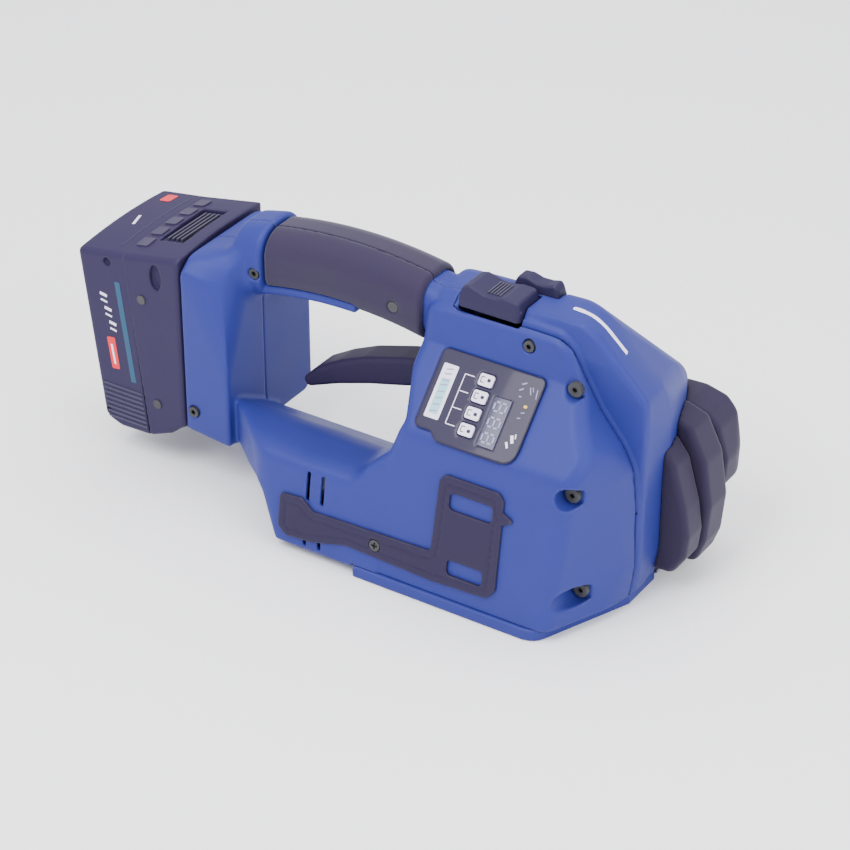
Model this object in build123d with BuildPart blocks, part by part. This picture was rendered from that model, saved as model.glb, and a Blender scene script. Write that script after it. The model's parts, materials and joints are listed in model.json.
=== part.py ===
from build123d import *
import os
from math import asin, atan2, cos, degrees, hypot, pi, radians, sin, tan

# Battery-powered friction-weld strapping tool, in millimetres.
# +X points to the nose, the battery is at -X, the keypad faces -Y,
# the strap goes in from the +Y side, and Z = 0 is the surface it rests on.

os.makedirs("parts", exist_ok=True)

# ---------------------------------------------------------------- driving sizes
HALF_LENGTH = 175.0        # origin to the battery's rear edge and to the bumper
HALF_WIDTH = 70.0          # origin to the widest point of either side
WALL = 2.8                 # moulded shell thickness
REACH = 260.0              # longer than anything on the tool
GAP = 0.3                  # between pieces of different bodies

SEAM_REAR = -5.0           # Y of the clamshell seam on the handle and holder
SEAM_FRONT = -14.5         # Y of the seam on the body
SEAM_JOG = 45.0            # X where the seam steps from one to the other
FLOOR_Z = 6.8              # top of the bottom cover, underside of the shells
PLATE_TOP = 7.0            # strap face of the base plate
CHANNEL_Y = 14.0           # inner wall of the strap channel
SKIRT_Z = 40.0             # lower edge of the left shell over the channel

SIDE_LEAN = radians(9)     # the near wall leans in as it rises
SIDE_Y0 = -69.5            # Y of the near wall at Z = 0
KEYPAD_TILT = 45.8         # degrees from horizontal
KEYPAD_CENTRE = (75.5, -39.3, 107.1)
KEYPAD_SIZE = (60.6, 48.0)

HANDLE_R = 240.0           # radius of the handle's arch
HANDLE_XC = -20.0          # X of the top of the arch
HANDLE_TOP_Z = 135.5       # Z of the handle's centre line at its highest
GRIP_SIZE = (36.0, 37.0)
CORE_SIZE = (29.0, 30.0)

LEVER_PIVOT = (36.0, 98.0)         # X, Z
DRIVE_AXIS = (86.0, 33.0)          # X, Z of the cross shaft, arms turn on it
WHEEL_AXIS = (122.0, 27.0)         # X, Z of the tension wheel
ECCENTRIC_AXIS = (57.0, 24.0)      # X, Z of the weld eccentric
MOTOR_AXIS = (-38.0, 33.0)         # Y, Z of the motor
WHEEL_R = 18.0
STRAP_LANE = (37.0, 53.0)          # Y range of the strap, up to 16 mm wide
BELT_LANE = (19.2, 24.8)           # tension belt
WELD_BELT_LANE = (2.2, 7.8)
ROCKER_LANE = (26.0, 30.0)
WELD_LANE = (30.6, 34.6)
SHAFT_R = 4.0
PULLEY_R = 9.0
BELT_T = 1.2

HOLDER_REAR = -110.0
HOLDER_FRONT = -79.6
HOLDER_HALF_Y = 39.8
PACK_HALF_Y = 38.5


# ---------------------------------------------------------------- shared shapes
def inward(points, distance):
    """Closed outline moved inwards by a distance, with its corners kept sharp."""
    count = len(points)
    doubled_area = sum(
        points[i][0] * points[(i + 1) % count][1] - points[(i + 1) % count][0] * points[i][1]
        for i in range(count)
    )
    turn = 1.0 if doubled_area > 0 else -1.0
    moved = []
    for i in range(count):
        (x0, y0), (x1, y1), (x2, y2) = points[i - 1], points[i], points[(i + 1) % count]
        first, second = hypot(x1 - x0, y1 - y0), hypot(x2 - x1, y2 - y1)
        n0 = (-turn * (y1 - y0) / first, turn * (x1 - x0) / first)
        n1 = (-turn * (y2 - y1) / second, turn * (x2 - x1) / second)
        share = distance / (1.0 + n0[0] * n1[0] + n0[1] * n1[1])
        moved.append((x1 + share * (n0[0] + n1[0]), y1 + share * (n0[1] + n1[1])))
    return moved


def block(side, section, plan, inset=0.0):
    """Solid bounded by a side view (x, z), a section (y, z) and a plan (x, y)."""
    with BuildPart() as solid:
        with BuildSketch(Plane.XZ):
            Polygon(*inward(side, inset), align=None)
        extrude(amount=REACH, both=True)
        with BuildSketch(Plane.YZ):
            Polygon(*inward(section, inset), align=None)
        extrude(amount=REACH, both=True, mode=Mode.INTERSECT)
        with BuildSketch(Plane.XY):
            Polygon(*inward(plan, inset), align=None)
        extrude(amount=REACH, both=True, mode=Mode.INTERSECT)
    return solid.part


def y_slab(points, y_low, y_high, holes=()):
    """Plate between two Y planes from an x, z outline; holes are (x, z, r)."""
    with BuildPart() as slab:
        with BuildSketch(Plane.XZ.offset(-y_low)):
            Polygon(*points, align=None)
            for x, z, r in holes:
                with Locations((x, z)):
                    Circle(r, mode=Mode.SUBTRACT)
        extrude(amount=y_low - y_high)
    return slab.part


def y_ring(x, z, y_low, y_high, r_out, r_in=0.0):
    """Cylinder or ring along Y."""
    with BuildPart() as ring:
        with BuildSketch(Plane.XZ.offset(-y_low)):
            with Locations((x, z)):
                Circle(r_out)
                if r_in:
                    Circle(r_in, mode=Mode.SUBTRACT)
        extrude(amount=y_low - y_high)
    return ring.part


def x_ring(y, z, x_low, x_high, r_out, r_in=0.0):
    """Cylinder or ring along X."""
    with BuildPart() as ring:
        with BuildSketch(Plane.YZ.offset(x_low)):
            with Locations((y, z)):
                Circle(r_out)
                if r_in:
                    Circle(r_in, mode=Mode.SUBTRACT)
        extrude(amount=x_high - x_low)
    return ring.part


def box(x, y, z):
    """Box from three (low, high) pairs."""
    with BuildPart() as cuboid:
        with BuildSketch(Plane.XY.offset(z[0])):
            Polygon((x[0], y[0]), (x[1], y[0]), (x[1], y[1]), (x[0], y[1]), align=None)
        extrude(amount=z[1] - z[0])
    return cuboid.part


def belt(axis_a, axis_b, r_out, thickness, y_low, y_high):
    """Flat belt round two equal pulleys whose axes run along Y."""
    (xa, za), (xb, zb) = axis_a, axis_b
    span = hypot(xb - xa, zb - za)
    tilt = degrees(atan2(zb - za, xb - xa))
    middle = ((xa + xb) / 2, (za + zb) / 2)
    with BuildPart() as band:
        with BuildSketch(Plane.XZ.offset(-y_low)):
            with Locations(Location(middle, tilt)):
                SlotCenterToCenter(span, 2 * r_out)
                SlotCenterToCenter(span, 2 * (r_out - thickness), mode=Mode.SUBTRACT)
        extrude(amount=y_low - y_high)
    return band.part


def along_handle(x_rear, x_front, size, corner):
    """Rounded-rectangle bar that follows the handle's arch."""
    rear = 90 + degrees(asin((HANDLE_XC - x_rear) / HANDLE_R))
    front = 90 - degrees(asin((x_front - HANDLE_XC) / HANDLE_R))
    with BuildPart() as bar:
        with BuildLine(Plane.XZ):
            arch = CenterArc((HANDLE_XC, HANDLE_TOP_Z - HANDLE_R), HANDLE_R, rear, front - rear)
        with BuildSketch(Plane(origin=arch @ 0, z_dir=arch % 0, x_dir=(0, 1, 0))):
            RectangleRounded(*size, corner)
        sweep()
    return bar.part


def near_wall_y(z):
    """Y of the leaning near wall at a height."""
    return SIDE_Y0 + z * tan(SIDE_LEAN)


# ---------------------------------------------------------------- blue clamshell
NEAR_SIDE = [
    (17, FLOOR_Z), (157.5, FLOOR_Z), (157.5, 30), (155.5, 63), (152, 83), (145, 96),
    (132, 112), (123, 127), (116, 141), (108, 149), (90, 150), (45, 146), (30, 143),
    (30, 112), (38, 92), (32, 74), (17, 60),
]
NEAR_SECTION = [
    (5, FLOOR_Z), (5, 150), (-12, 150), (-18.5, 142), (-22, 124.6),
    (near_wall_y(90), 90), (near_wall_y(FLOOR_Z), FLOOR_Z),
]
NEAR_PLAN = [(10, 5), (10, -70), (131.3, -70), (157.3, -11.5), (157.3, 5)]

FAR_SIDE = [
    (28, FLOOR_Z), (157, FLOOR_Z), (157, 60), (159, 100), (158, 121), (148, 131.7),
    (139.5, 140.3), (126.5, 150.3), (117, 154.1), (105, 154.2), (90, 152.6),
    (45, 148.5), (28, 146),
]
FAR_SECTION = [
    (SEAM_FRONT, FLOOR_Z), (SEAM_FRONT, 136), (-10.5, 154.2), (14, 154.2), (63, 99),
    (66, 92), (66, SKIRT_Z), (CHANNEL_Y, SKIRT_Z), (CHANNEL_Y, FLOOR_Z),
]
FAR_PLAN = [
    (28, SEAM_FRONT), (158, SEAM_FRONT), (158, 12), (147, 46), (138, 66), (45, 66), (28, 25),
]

STRUT_SIDE = [
    (-86, 58), (-50, 58), (-20, 56), (10, 58), (32, 64), (32, FLOOR_Z), (17, FLOOR_Z), (17, 5),
    (-33, 5), (-45, 31),
    (-60, 28), (-86, 28),
]
STRUT_SECTION = [
    (near_wall_y(5), 5), (near_wall_y(52), 52), (-50, 62), (-26, 62), (4, 46), (9, 38), (9, 5),
]
STRUT_PLAN = [(-86, -33), (-79, -33), (-44, -63), (-33, -70), (32, -70), (32, 9), (-86, 9)]

HOLDER_SIDE = [
    (HOLDER_REAR, 31), (HOLDER_FRONT, 27.5), (HOLDER_FRONT, 141), (-92, 137.5),
    (HOLDER_REAR, 134),
]
HOLDER_SECTION = [
    (-HOLDER_HALF_Y, 27), (-HOLDER_HALF_Y, 127), (-31, 134), (-15, 140), (15, 140),
    (31, 134), (HOLDER_HALF_Y, 127), (HOLDER_HALF_Y, 34), (33, 27),
]
HOLDER_PLAN = [
    (HOLDER_REAR, -HOLDER_HALF_Y), (HOLDER_FRONT, -HOLDER_HALF_Y),
    (HOLDER_FRONT, HOLDER_HALF_Y), (HOLDER_REAR, HOLDER_HALF_Y),
]

with BuildPart() as clamshell_outer:
    add(block(NEAR_SIDE, NEAR_SECTION, NEAR_PLAN))
    add(block(FAR_SIDE, FAR_SECTION, FAR_PLAN))
    add(block(STRUT_SIDE, STRUT_SECTION, STRUT_PLAN))
    add(block(HOLDER_SIDE, HOLDER_SECTION, HOLDER_PLAN))
    add(along_handle(-86, 36, CORE_SIZE, 10))
    add(along_handle(-88, -71, (40, 41), 15))

with BuildPart() as clamshell_inner:
    add(block(NEAR_SIDE, NEAR_SECTION, NEAR_PLAN, WALL))
    add(block(FAR_SIDE, FAR_SECTION, FAR_PLAN, WALL))
    add(block(STRUT_SIDE, STRUT_SECTION, STRUT_PLAN, WALL))
    add(block(HOLDER_SIDE, HOLDER_SECTION, HOLDER_PLAN, WALL))
    add(along_handle(-86, 36, (CORE_SIZE[0] - 2 * WALL, CORE_SIZE[1] - 2 * WALL), 8))

# Screws run along Y from the near side: x, z, head seat y, counterbore radius,
# and the rib from each boss to the nearest wall as a step in x and z.
SHELL_SCREWS = [
    (-103.4, 44.0, -37.0, 3.3, (0, -15)),
    (-75.5, 127.5, -16.0, 3.3, None),
    (92.0, 137.0, -16.5, 3.3, (0, 16)),
    (121.5, 124.0, -21.0, 4.2, (0, 28)),
    (136.0, 81.0, -46.0, 4.2, (22, 0)),
    (139.0, 22.0, -40.0, 4.2, (0, -15)),
]
BOSS_R = 5.4
SHANK_R = 1.7
SCREW_END_Y = -4.0

# Top buttons: name, centre, cap size and the height of the cap's top.
BUTTONS = [
    ("tension_button", (66.0, -5.0), (36.0, 22.0), 157.5),
    ("weld_button", (79.0, 13.2), (27.0, 11.0), 157.3),
]
BUTTON_PLAY = 0.5          # between a cap and the edge of its opening
BUTTON_FLOOR_Z = 142.5     # the openings are cut from here up

with BuildPart() as near_region:
    with BuildSketch(Plane.XY.offset(-10)):
        Polygon(
            (-200, SEAM_REAR), (SEAM_JOG, SEAM_REAR), (SEAM_JOG, SEAM_FRONT),
            (200, SEAM_FRONT), (200, -100), (-200, -100), align=None,
        )
    extrude(amount=200)

KEYPAD_PLANE = Plane(
    origin=KEYPAD_CENTRE,
    x_dir=(1, 0, 0),
    z_dir=(0, -sin(radians(KEYPAD_TILT)), cos(radians(KEYPAD_TILT))),
)


def button_openings():
    """Openings in the top of the shells that the button caps stand in."""
    with BuildPart() as openings:
        with BuildSketch(Plane.XY.offset(BUTTON_FLOOR_Z)):
            for _, centre, size, _ in BUTTONS:
                with Locations(centre):
                    Rectangle(size[0] + 2 * BUTTON_PLAY, size[1] + 2 * BUTTON_PLAY)
        extrude(amount=20)
    return openings.part


with BuildPart() as right_housing:
    add(clamshell_outer.part)
    add(clamshell_inner.part, mode=Mode.SUBTRACT)
    for x, z, seat_y, _, _ in SHELL_SCREWS:
        seam_y = SEAM_REAR if x < SEAM_JOG else SEAM_FRONT
        add(y_ring(x, z, seat_y - 1, seam_y, BOSS_R))
    add(near_region.part, mode=Mode.INTERSECT)
    for x, z, seat_y, bore_r, _ in SHELL_SCREWS:
        add(y_ring(x, z, -90, seat_y, bore_r), mode=Mode.SUBTRACT)
        add(y_ring(x, z, -90, 0, SHANK_R + 0.15), mode=Mode.SUBTRACT)
    with BuildSketch(KEYPAD_PLANE.offset(-1.2)):
        RectangleRounded(KEYPAD_SIZE[0] + 0.4, KEYPAD_SIZE[1] + 0.4, 5)
    extrude(amount=12, mode=Mode.SUBTRACT)
    with BuildSketch(KEYPAD_PLANE):
        Rectangle(KEYPAD_SIZE[0] - 10, KEYPAD_SIZE[1] - 10)
    extrude(amount=-6, mode=Mode.SUBTRACT)
    # ventilation slots beside the motor
    for slot_x in (-13.0, -4.0):
        for slot_z, slot_h in ((41.0, 17.0), (9.5, 5.0)):
            add(box((slot_x - 0.9, slot_x + 0.9), (-80, -56),
                    (slot_z - slot_h / 2, slot_z + slot_h / 2)), mode=Mode.SUBTRACT)
    add(box((20, 40), (-11, -4), (79, 111)), mode=Mode.SUBTRACT)
    add(button_openings(), mode=Mode.SUBTRACT)
right_housing.part.label = "right_housing"
export_step(right_housing.part, "parts/right_housing.step")


def boss_rib(x, z, y_low, y_high, step):
    """Thin web that ties a boss to the wall it stands beside."""
    x_low, x_high = min(x, x + step[0]) - 1, max(x, x + step[0]) + 1
    z_low, z_high = min(z, z + step[1]) - 1, max(z, z + step[1]) + 1
    return box((x_low, x_high), (y_low, y_high), (z_low, z_high))


with BuildPart() as left_housing:
    add(clamshell_outer.part)
    add(clamshell_inner.part, mode=Mode.SUBTRACT)
    add(near_region.part, mode=Mode.SUBTRACT)
    # the strap channel is open below the skirt
    add(box((48, 154), (CHANNEL_Y + 0.1, 66 - WALL), (30, 50)), mode=Mode.SUBTRACT)
    # the lever comes out of the rear wall under the handle
    add(box((20, 40), (-14, 11), (79, 111)), mode=Mode.SUBTRACT)
    # the cross shaft, the eccentric shaft and the lift pin pass the inner wall
    add(y_ring(*DRIVE_AXIS, 5, 20, 6.5), mode=Mode.SUBTRACT)
    add(y_ring(*ECCENTRIC_AXIS, 5, 20, 9.0), mode=Mode.SUBTRACT)
    add(button_openings(), mode=Mode.SUBTRACT)
    for x, z, _, _, rib in SHELL_SCREWS:
        if not rib:
            continue
        seam_y = SEAM_REAR if x < SEAM_JOG else SEAM_FRONT
        add(boss_rib(x, z, seam_y, 2, rib))
        add(y_ring(x, z, seam_y, 2, BOSS_R))
        add(y_ring(x, z, seam_y - 1, SCREW_END_Y + 1, SHANK_R + 0.15), mode=Mode.SUBTRACT)
    add(clamshell_outer.part, mode=Mode.INTERSECT)
left_housing.part.label = "left_housing"
export_step(left_housing.part, "parts/left_housing.step")

# ---------------------------------------------------------------- bottom cover
COVER_PLAN = [(17, 14), (17, -70), (131.6, -70), (157.3, -13), (157.3, 14)]
with BuildPart() as bottom_cover:
    with BuildSketch(Plane.XY):
        Polygon(*COVER_PLAN, align=None)
    extrude(amount=FLOOR_Z)
    chamfer(bottom_cover.faces().sort_by(Axis.Z)[0].edges(), 1.2)
    with BuildSketch(Plane.XY.offset(FLOOR_Z)):
        Polygon(*COVER_PLAN, align=None)
        offset(amount=-8)
    extrude(amount=-4, mode=Mode.SUBTRACT)
bottom_cover.part.label = "bottom_cover"
export_step(bottom_cover.part, "parts/bottom_cover.step")

# the pad under the rear of the body keeps the tool level on a bench
FOOT_X = (-29.0, -15.0)
FOOT_Y = (-58.0, -8.0)
STRUT_BOTTOM_Z = 5.0
with BuildPart() as rear_foot:
    add(box(FOOT_X, FOOT_Y, (0, STRUT_BOTTOM_Z)))
    fillet(rear_foot.edges().filter_by(Axis.Z), 4)
    chamfer(rear_foot.faces().sort_by(Axis.Z)[0].edges(), 0.8)
rear_foot.part.label = "rear_foot"
export_step(rear_foot.part, "parts/rear_foot.step")

# ---------------------------------------------------------------- handle grips
GRIP_X = (-70.0, 27.0)
GRIP_SCREW = (10.5, 133.4)
STRIP_Z_DROP = 13.5

with BuildPart() as grip_tube:
    add(along_handle(*GRIP_X, GRIP_SIZE, 14))
    add(clamshell_outer.part, mode=Mode.SUBTRACT)
    # the flat groove along the underside that takes the strip
    add(along_handle(-86, 45, (16.2, 60), 1).moved(Location((0, 0, -STRIP_Z_DROP - 30))),
        mode=Mode.SUBTRACT)
    add(y_ring(*GRIP_SCREW, -40, -16.6, 3.3), mode=Mode.SUBTRACT)
    add(y_ring(*GRIP_SCREW, -40, -14, SHANK_R), mode=Mode.SUBTRACT)

with BuildPart() as grip_right:
    add(grip_tube.part)
    split(bisect_by=Plane.XZ.offset(-SEAM_REAR), keep=Keep.TOP)
grip_right.part.label = "grip_right"
export_step(grip_right.part, "parts/grip_right.step")

with BuildPart() as grip_left:
    add(grip_tube.part)
    split(bisect_by=Plane.XZ.offset(-SEAM_REAR), keep=Keep.BOTTOM)
grip_left.part.label = "grip_left"
export_step(grip_left.part, "parts/grip_left.step")

with BuildPart() as grip_strip:
    add(along_handle(GRIP_X[0] + 2, GRIP_X[1] - 8, (15.8, 60), 1)
        .moved(Location((0, 0, -STRIP_Z_DROP - 30))))
    add(along_handle(-86, 45, (GRIP_SIZE[0], GRIP_SIZE[1] + 1.5), 14), mode=Mode.INTERSECT)
    add(clamshell_outer.part, mode=Mode.SUBTRACT)
grip_strip.part.label = "grip_strip"
export_step(grip_strip.part, "parts/grip_strip.step")

# ---------------------------------------------------------------- side trim
WALL_PLANE = Plane(
    origin=(0, SIDE_Y0, 0),
    x_dir=(1, 0, 0),
    z_dir=(0, -cos(SIDE_LEAN), sin(SIDE_LEAN)),
)
TRIM_T = 1.8
TRIM_OUTLINE = [
    (-29, 34), (-15, 35), (-8, 29.5), (64, 31.5), (65.5, 72), (69, 76), (100, 76),
    (103.5, 72), (103.5, 66), (111, 62.5), (103.5, 59), (103.5, 22), (99, 16.5),
    (66, 15), (14, 17), (-8, 11.5), (-24, 10.5), (-29, 15),
]
TRIM_WINDOWS = [((85, 62.5), (25, 9.5)), ((85, 26), (21, 8.5))]
TRIM_SCREW = (31.0, 23.0)

with BuildPart() as side_trim:
    with BuildSketch(WALL_PLANE) as trim_outline:
        Polygon(*TRIM_OUTLINE, align=None)
        fillet(trim_outline.vertices(), 1.5)
        for centre, size in TRIM_WINDOWS:
            with Locations(centre):
                RectangleRounded(*size, 3, mode=Mode.SUBTRACT)
        with Locations(TRIM_SCREW):
            Circle(3.4, mode=Mode.SUBTRACT)
    extrude(amount=TRIM_T)
side_trim.part.label = "side_trim"
export_step(side_trim.part, "parts/side_trim.step")

with BuildPart() as housing_screws:
    for x, z, seat_y, bore_r, _ in SHELL_SCREWS:
        add(y_ring(x, z, seat_y - 3.0, seat_y, bore_r - 0.3))
        add(y_ring(x, z, seat_y, SCREW_END_Y, SHANK_R))
        add(y_ring(x, z, seat_y - 3.1, seat_y - 1.2, 1.3), mode=Mode.SUBTRACT)
    # the grip's screw
    add(y_ring(*GRIP_SCREW, -17.6, -16.6, 3.0))
    add(y_ring(*GRIP_SCREW, -16.6, -14.6, SHANK_R - 0.1))
    # the trim's cross-head screw
    with BuildSketch(WALL_PLANE):
        with Locations(TRIM_SCREW):
            Circle(3.1)
    extrude(amount=1.4)
    with BuildSketch(WALL_PLANE.offset(1.4)):
        with Locations(TRIM_SCREW):
            Rectangle(3.6, 0.8)
            Rectangle(0.8, 3.6)
    extrude(amount=-0.8, mode=Mode.SUBTRACT)
housing_screws.part.label = "housing_screws"
export_step(housing_screws.part, "parts/housing_screws.step")

# ---------------------------------------------------------------- keypad
KEY_U = -0.8                                     # column of keys, from the centre
KEY_V = [13.6, 4.7, -4.3, -13.2]
KEY_SIZE = (8.0, 6.2)
DISPLAY_AT = (11.8, -5.4)
DISPLAY_SIZE = (9.6, 26.0)

with BuildPart() as keypad_panel:
    with BuildSketch(KEYPAD_PLANE.offset(-1.2)):
        RectangleRounded(*KEYPAD_SIZE, 5)
        for v in KEY_V:
            with Locations((KEY_U, v)):
                RectangleRounded(KEY_SIZE[0] + 2 * GAP, KEY_SIZE[1] + 2 * GAP, 1.3, mode=Mode.SUBTRACT)
        with Locations(DISPLAY_AT):
            Rectangle(DISPLAY_SIZE[0] + 0.1, DISPLAY_SIZE[1] + 0.1, mode=Mode.SUBTRACT)
    extrude(amount=2.0)
keypad_panel.part.label = "keypad_panel"
export_step(keypad_panel.part, "parts/keypad_panel.step")

with BuildPart() as display_window:
    with BuildSketch(KEYPAD_PLANE.offset(-1.2)):
        with Locations(DISPLAY_AT):
            Rectangle(*DISPLAY_SIZE)
    extrude(amount=1.8)
display_window.part.label = "display_window"
export_step(display_window.part, "parts/display_window.step")

for number, v in enumerate(KEY_V, start=1):
    with BuildPart() as key:
        with BuildSketch(KEYPAD_PLANE.offset(-0.4)):
            with Locations((KEY_U, v)):
                RectangleRounded(*KEY_SIZE, 1.1)
        extrude(amount=1.8)
        with BuildSketch(KEYPAD_PLANE.offset(-0.4)):
            with Locations((KEY_U, v)):
                Circle(1.2)
        extrude(amount=-1.6)
    key.part.label = f"key_{number}"
    export_step(key.part, f"parts/key_{number}.step")

BOARD_DEPTH = 4.8
with BuildPart() as control_board:
    with BuildSketch(KEYPAD_PLANE.offset(-BOARD_DEPTH)):
        Rectangle(46, 34)
    extrude(amount=1.6)
    # dome switches under the keys, the display block and a connector
    with BuildSketch(KEYPAD_PLANE.offset(-BOARD_DEPTH + 1.6)):
        for v in KEY_V:
            with Locations((KEY_U, v)):
                Circle(2.0)
    extrude(amount=0.5)
    with BuildSketch(KEYPAD_PLANE.offset(-BOARD_DEPTH + 1.6)):
        with Locations(DISPLAY_AT):
            Rectangle(DISPLAY_SIZE[0] - 0.6, DISPLAY_SIZE[1] - 1)
    extrude(amount=1.8)
    with BuildSketch(KEYPAD_PLANE.offset(-BOARD_DEPTH)):
        with Locations((-12, 6)):
            Rectangle(14, 8)
        with Locations((8, -4)):
            Rectangle(10, 10)
    extrude(amount=-3)
control_board.part.label = "control_board"
export_step(control_board.part, "parts/control_board.step")

# ---------------------------------------------------------------- top buttons
CAP_BEVEL_Z = 154.8
CAP_BASE_Z = 146.4
STEM_LOW_Z = 139.5
STEM_SIZE = (14.0, 6.0)
BUTTON_TRAVEL = 2.0
CARRIER_X = (56.0, 90.0)
CARRIER_Y = (-8.0, 17.0)


def button_cap(centre, size, top_z):
    """Block with a bevelled top, on a stem that reaches the switch below it."""
    with BuildPart() as cap:
        with BuildSketch(Plane.XY.offset(CAP_BASE_Z)):
            with Locations(centre):
                Rectangle(*size)
        extrude(amount=CAP_BEVEL_Z - CAP_BASE_Z)
        with BuildSketch(Plane.XY.offset(CAP_BEVEL_Z)):
            with Locations(centre):
                Rectangle(*size)
        with BuildSketch(Plane.XY.offset(top_z)):
            with Locations(centre):
                Rectangle(size[0] - 4, size[1] - 4)
        loft()
        with BuildSketch(Plane.XY.offset(CAP_BASE_Z)):
            with Locations(centre):
                Rectangle(*STEM_SIZE)
        extrude(amount=STEM_LOW_Z - CAP_BASE_Z)
    return cap.part


for name, centre, size, top_z in BUTTONS:
    button = button_cap(centre, size, top_z)
    button.label = name
    export_step(button, f"parts/{name}.step")

with BuildPart() as button_switches:
    for _, (x, y), _, _ in BUTTONS:
        add(box((x - 10, x + 10), (y - 3.2, y + 3.2), (STEM_LOW_Z - 14, STEM_LOW_Z - 4)))
        add(box((x - 2, x + 2), (y - 2, y + 2), (STEM_LOW_Z - 4, STEM_LOW_Z - BUTTON_TRAVEL - 0.4)))
    add(box(CARRIER_X, CARRIER_Y, (STEM_LOW_Z - 16, STEM_LOW_Z - 14)))
button_switches.part.label = "button_switches"
export_step(button_switches.part, "parts/button_switches.step")

# ---------------------------------------------------------------- front bumper
BUMPER_RIBS = [
    ("bumper_inner", (6, 24), [
        (140, 8), (165, 8), (169, 22), (170, 34), (167, 52), (161, 78), (154, 88), (140, 88)]),
    ("bumper_middle", (24, 45), [
        (130, 12), (165, 12), (170, 26), (172.5, 50), (168, 78), (161, 97), (150, 101), (130, 99)]),
    ("bumper_outer", (45, HALF_WIDTH), [
        (124, 43), (166, 43), (173, 52), (HALF_LENGTH, 68), (169, 88), (161, 96), (148, 99),
        (124, 97)]),
]
BUMPER_PLAN = [(160, 0), (190, 0), (190, 30), (168, HALF_WIDTH), (124, HALF_WIDTH), (124, 66.3),
               (138.3, 66.3), (147.3, 46.1), (158.3, 12.1), (158.3, 0)]
for name, (y_low, y_high), side in BUMPER_RIBS:
    with BuildPart() as rib:
        add(y_slab(side, y_low + 0.1, y_high - 0.1 if y_high < HALF_WIDTH else y_high))
        with BuildSketch(Plane.XY):
            Polygon(*BUMPER_PLAN, align=None)
        extrude(amount=200, mode=Mode.INTERSECT)
        add(block(FAR_SIDE, FAR_SECTION, FAR_PLAN, -0.2), mode=Mode.SUBTRACT)
    rib.part.label = name
    export_step(rib.part, f"parts/{name}.step")

# ---------------------------------------------------------------- lever
LEVER_HALF_W = 9.0
CHEEK_Y = (8.9, 11.5)
LEVER_TOP = [(-53.7, 66), (-44, 75.7), (-30, 84), (-14.6, 90.9), (8.4, 97.9), (21.5, 101.1)]
LEVER_BOTTOM = [(24, 88), (14.1, 82.5), (-10.9, 75.7), (-30, 69.5), (-50.3, 61.3)]
HUB_R = 8.0
HUB_HALF_W = 4.5
contact = 10.0 / 26.0
line = (DRIVE_AXIS[0] - LEVER_PIVOT[0], DRIVE_AXIS[1] - LEVER_PIVOT[1])
line_length = hypot(*line)
along = (line[0] / line_length, line[1] / line_length)
across = (-along[1], along[0])
push_point = (LEVER_PIVOT[0] + contact * line[0], LEVER_PIVOT[1] + contact * line[1])


def beside(distance_along, distance_across):
    """Point given along and across the line from the lever pivot to the drive axis."""
    return (
        LEVER_PIVOT[0] + along[0] * distance_along + across[0] * distance_across,
        LEVER_PIVOT[1] + along[1] * distance_along + across[1] * distance_across,
    )


FINGER_REACH = contact * line_length + 5.0
FINGER_FACE = 0.5          # from the line of centres; the pin stays clear over the travel
with BuildPart() as lever:
    add(y_slab(LEVER_TOP + [(LEVER_PIVOT[0], LEVER_PIVOT[1] + 6), (LEVER_PIVOT[0], LEVER_PIVOT[1] - 8)]
               + LEVER_BOTTOM, -LEVER_HALF_W, LEVER_HALF_W))
    fillet(lever.edges().filter_by(GeomType.LINE).filter_by(Axis.Y).group_by(Axis.X)[0], 1.5)
    add(y_ring(*LEVER_PIVOT, -HUB_HALF_W, HUB_HALF_W, HUB_R))
    add(box((28, 60), (-20, -HUB_HALF_W), (70, 115)), mode=Mode.SUBTRACT)
    add(box((28, 60), (HUB_HALF_W, 20), (70, 115)), mode=Mode.SUBTRACT)
    add(y_slab([beside(0, FINGER_FACE), beside(FINGER_REACH, FINGER_FACE),
                beside(FINGER_REACH, 7), beside(0, 8)],
               -HUB_HALF_W, HUB_HALF_W))
    add(y_ring(*LEVER_PIVOT, -20, 20, 3.05), mode=Mode.SUBTRACT)
lever.part.label = "lever"
export_step(lever.part, "parts/lever.step")

with BuildPart() as lever_pin:
    add(y_ring(*LEVER_PIVOT, -CHEEK_Y[1], CHEEK_Y[1], 3.0))
lever_pin.part.label = "lever_pin"
export_step(lever_pin.part, "parts/lever_pin.step")

with BuildPart() as lever_bracket:
    cheek = [(30.9, 88), (46, 88), (46, 113), (30.9, 113)]
    hole = [(LEVER_PIVOT[0], LEVER_PIVOT[1], 3.0)]
    add(y_slab(cheek, -CHEEK_Y[1], -CHEEK_Y[0], hole))
    add(y_slab(cheek, CHEEK_Y[0], CHEEK_Y[1], hole))
    add(box((30.9, 46), (-CHEEK_Y[1], CHEEK_Y[1]), (111, 113)))
lever_bracket.part.label = "lever_bracket"
export_step(lever_bracket.part, "parts/lever_bracket.step")

with BuildPart() as lever_spring:
    with BuildLine():
        coil = Helix(pitch=1.15, height=2.6, radius=5.0, direction=(0, 1, 0),
                     center=(LEVER_PIVOT[0], -8.2, LEVER_PIVOT[1]))
    with BuildSketch(Plane(origin=coil @ 0, z_dir=coil % 0)):
        Circle(0.5)
    sweep(is_frenet=True)
lever_spring.part.label = "lever_spring"
export_step(lever_spring.part, "parts/lever_spring.step")

# ---------------------------------------------------------------- base and frame
BASE_X = (15.0, 152.0)
BASE_Y = (14.3, 62.0)
GRIPPER_X = (112.0, 132.0)
ANVIL_X = (46.0, 68.0)

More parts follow.
